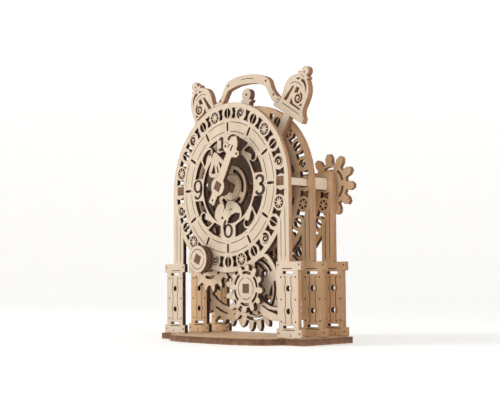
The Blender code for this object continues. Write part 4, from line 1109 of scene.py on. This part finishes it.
def sweep(sides=96):
    """Profile of radius and height turned round the upright axis on a two-parameter grid."""
    bend = np.linspace(0.0, math.pi / 2.0, 24)
    radius = np.concatenate((np.linspace(SWEEP_MIDDLE, SWEEP_FLAT, 12),
                             SWEEP_FLAT + SWEEP_BEND * np.sin(bend[1:]), [SWEEP_FLAT + SWEEP_BEND]))
    height = np.concatenate((np.zeros(12), SWEEP_BEND * (1.0 - np.cos(bend[1:])), [SWEEP_HIGH]))
    turn = np.linspace(0.0, 2.0 * math.pi, sides, endpoint=False)
    grid = np.stack((radius[:, None] * np.cos(turn), radius[:, None] * np.sin(turn),
                     np.repeat(height[:, None], sides, 1) - SWEEP_UNDER), -1).reshape(-1, 3)
    rows, k = np.arange(len(radius) - 1)[:, None] * sides, np.arange(sides)[None]
    n = (k + 1) % sides
    faces = np.stack((rows + k, rows + sides + k, rows + sides + n, rows + n), -1).reshape(-1, 4).tolist()
    return grid, faces + [list(range(sides))]


grid, faces = sweep()
mesh = bpy.data.meshes.new("sweep")
mesh.from_pydata(grid.tolist(), [], faces)
mesh.shade_smooth()
backdrop = placed("sweep", mesh)
ground = Bench("pale_ground")
mesh.materials.append(ground.finish(Base_Color=(0.93, 0.925, 0.915, 1.0), Roughness=0.9,
                                    Emission_Color=(1.0, 1.0, 1.0, 1.0), Emission_Strength=GLOW))
print("sweep:", len(faces), "faces")

# %% [markdown]
# A single lamp would give hard shadows in the fretwork.  Instead a panel in front and to the left
# gives the plates their face light and throws the openings into shade, a weaker and larger one on the
# right keeps the cut edges readable, and an even white surround fills the rest.  The Standard view
# transform shows the wood's tones as they are, where a filmic one would grey them.

# %% Light
def panel(name, place, target, size, watts, tint=(1.0, 1.0, 1.0)):
    """Square area light that faces a target."""
    lamp = bpy.data.lights.new(name, "AREA")
    lamp.shape = "SQUARE"
    lamp.size = size
    lamp.energy = watts
    lamp.color = tint
    back = unit(np.array([place], float) - np.array([target], float))[0]
    right = unit(np.cross((0.0, 0.0, 1.0), back)[None])[0]
    placed(name, lamp).matrix_world = facing(right, np.cross(back, right), back, place)


panel("front_left_light", (-0.85, -1.05, 0.75), (0.0, 0.0, 0.10), 0.5, 8.5, (1.0, 0.98, 0.95))
panel("right_light", (1.3, -0.15, 0.7), (0.0, 0.0, 0.08), 0.8, 4.0)
world = bpy.data.worlds.new("surround")
bpy.context.scene.world = world
world.use_nodes = True
surround = world.node_tree.nodes["Background"].inputs
surround["Color"].default_value = (1.0, 1.0, 1.0, 1.0)
surround["Strength"].default_value = 0.30
bpy.context.scene.view_settings.view_transform = "Standard"
print("two panels and a white surround")
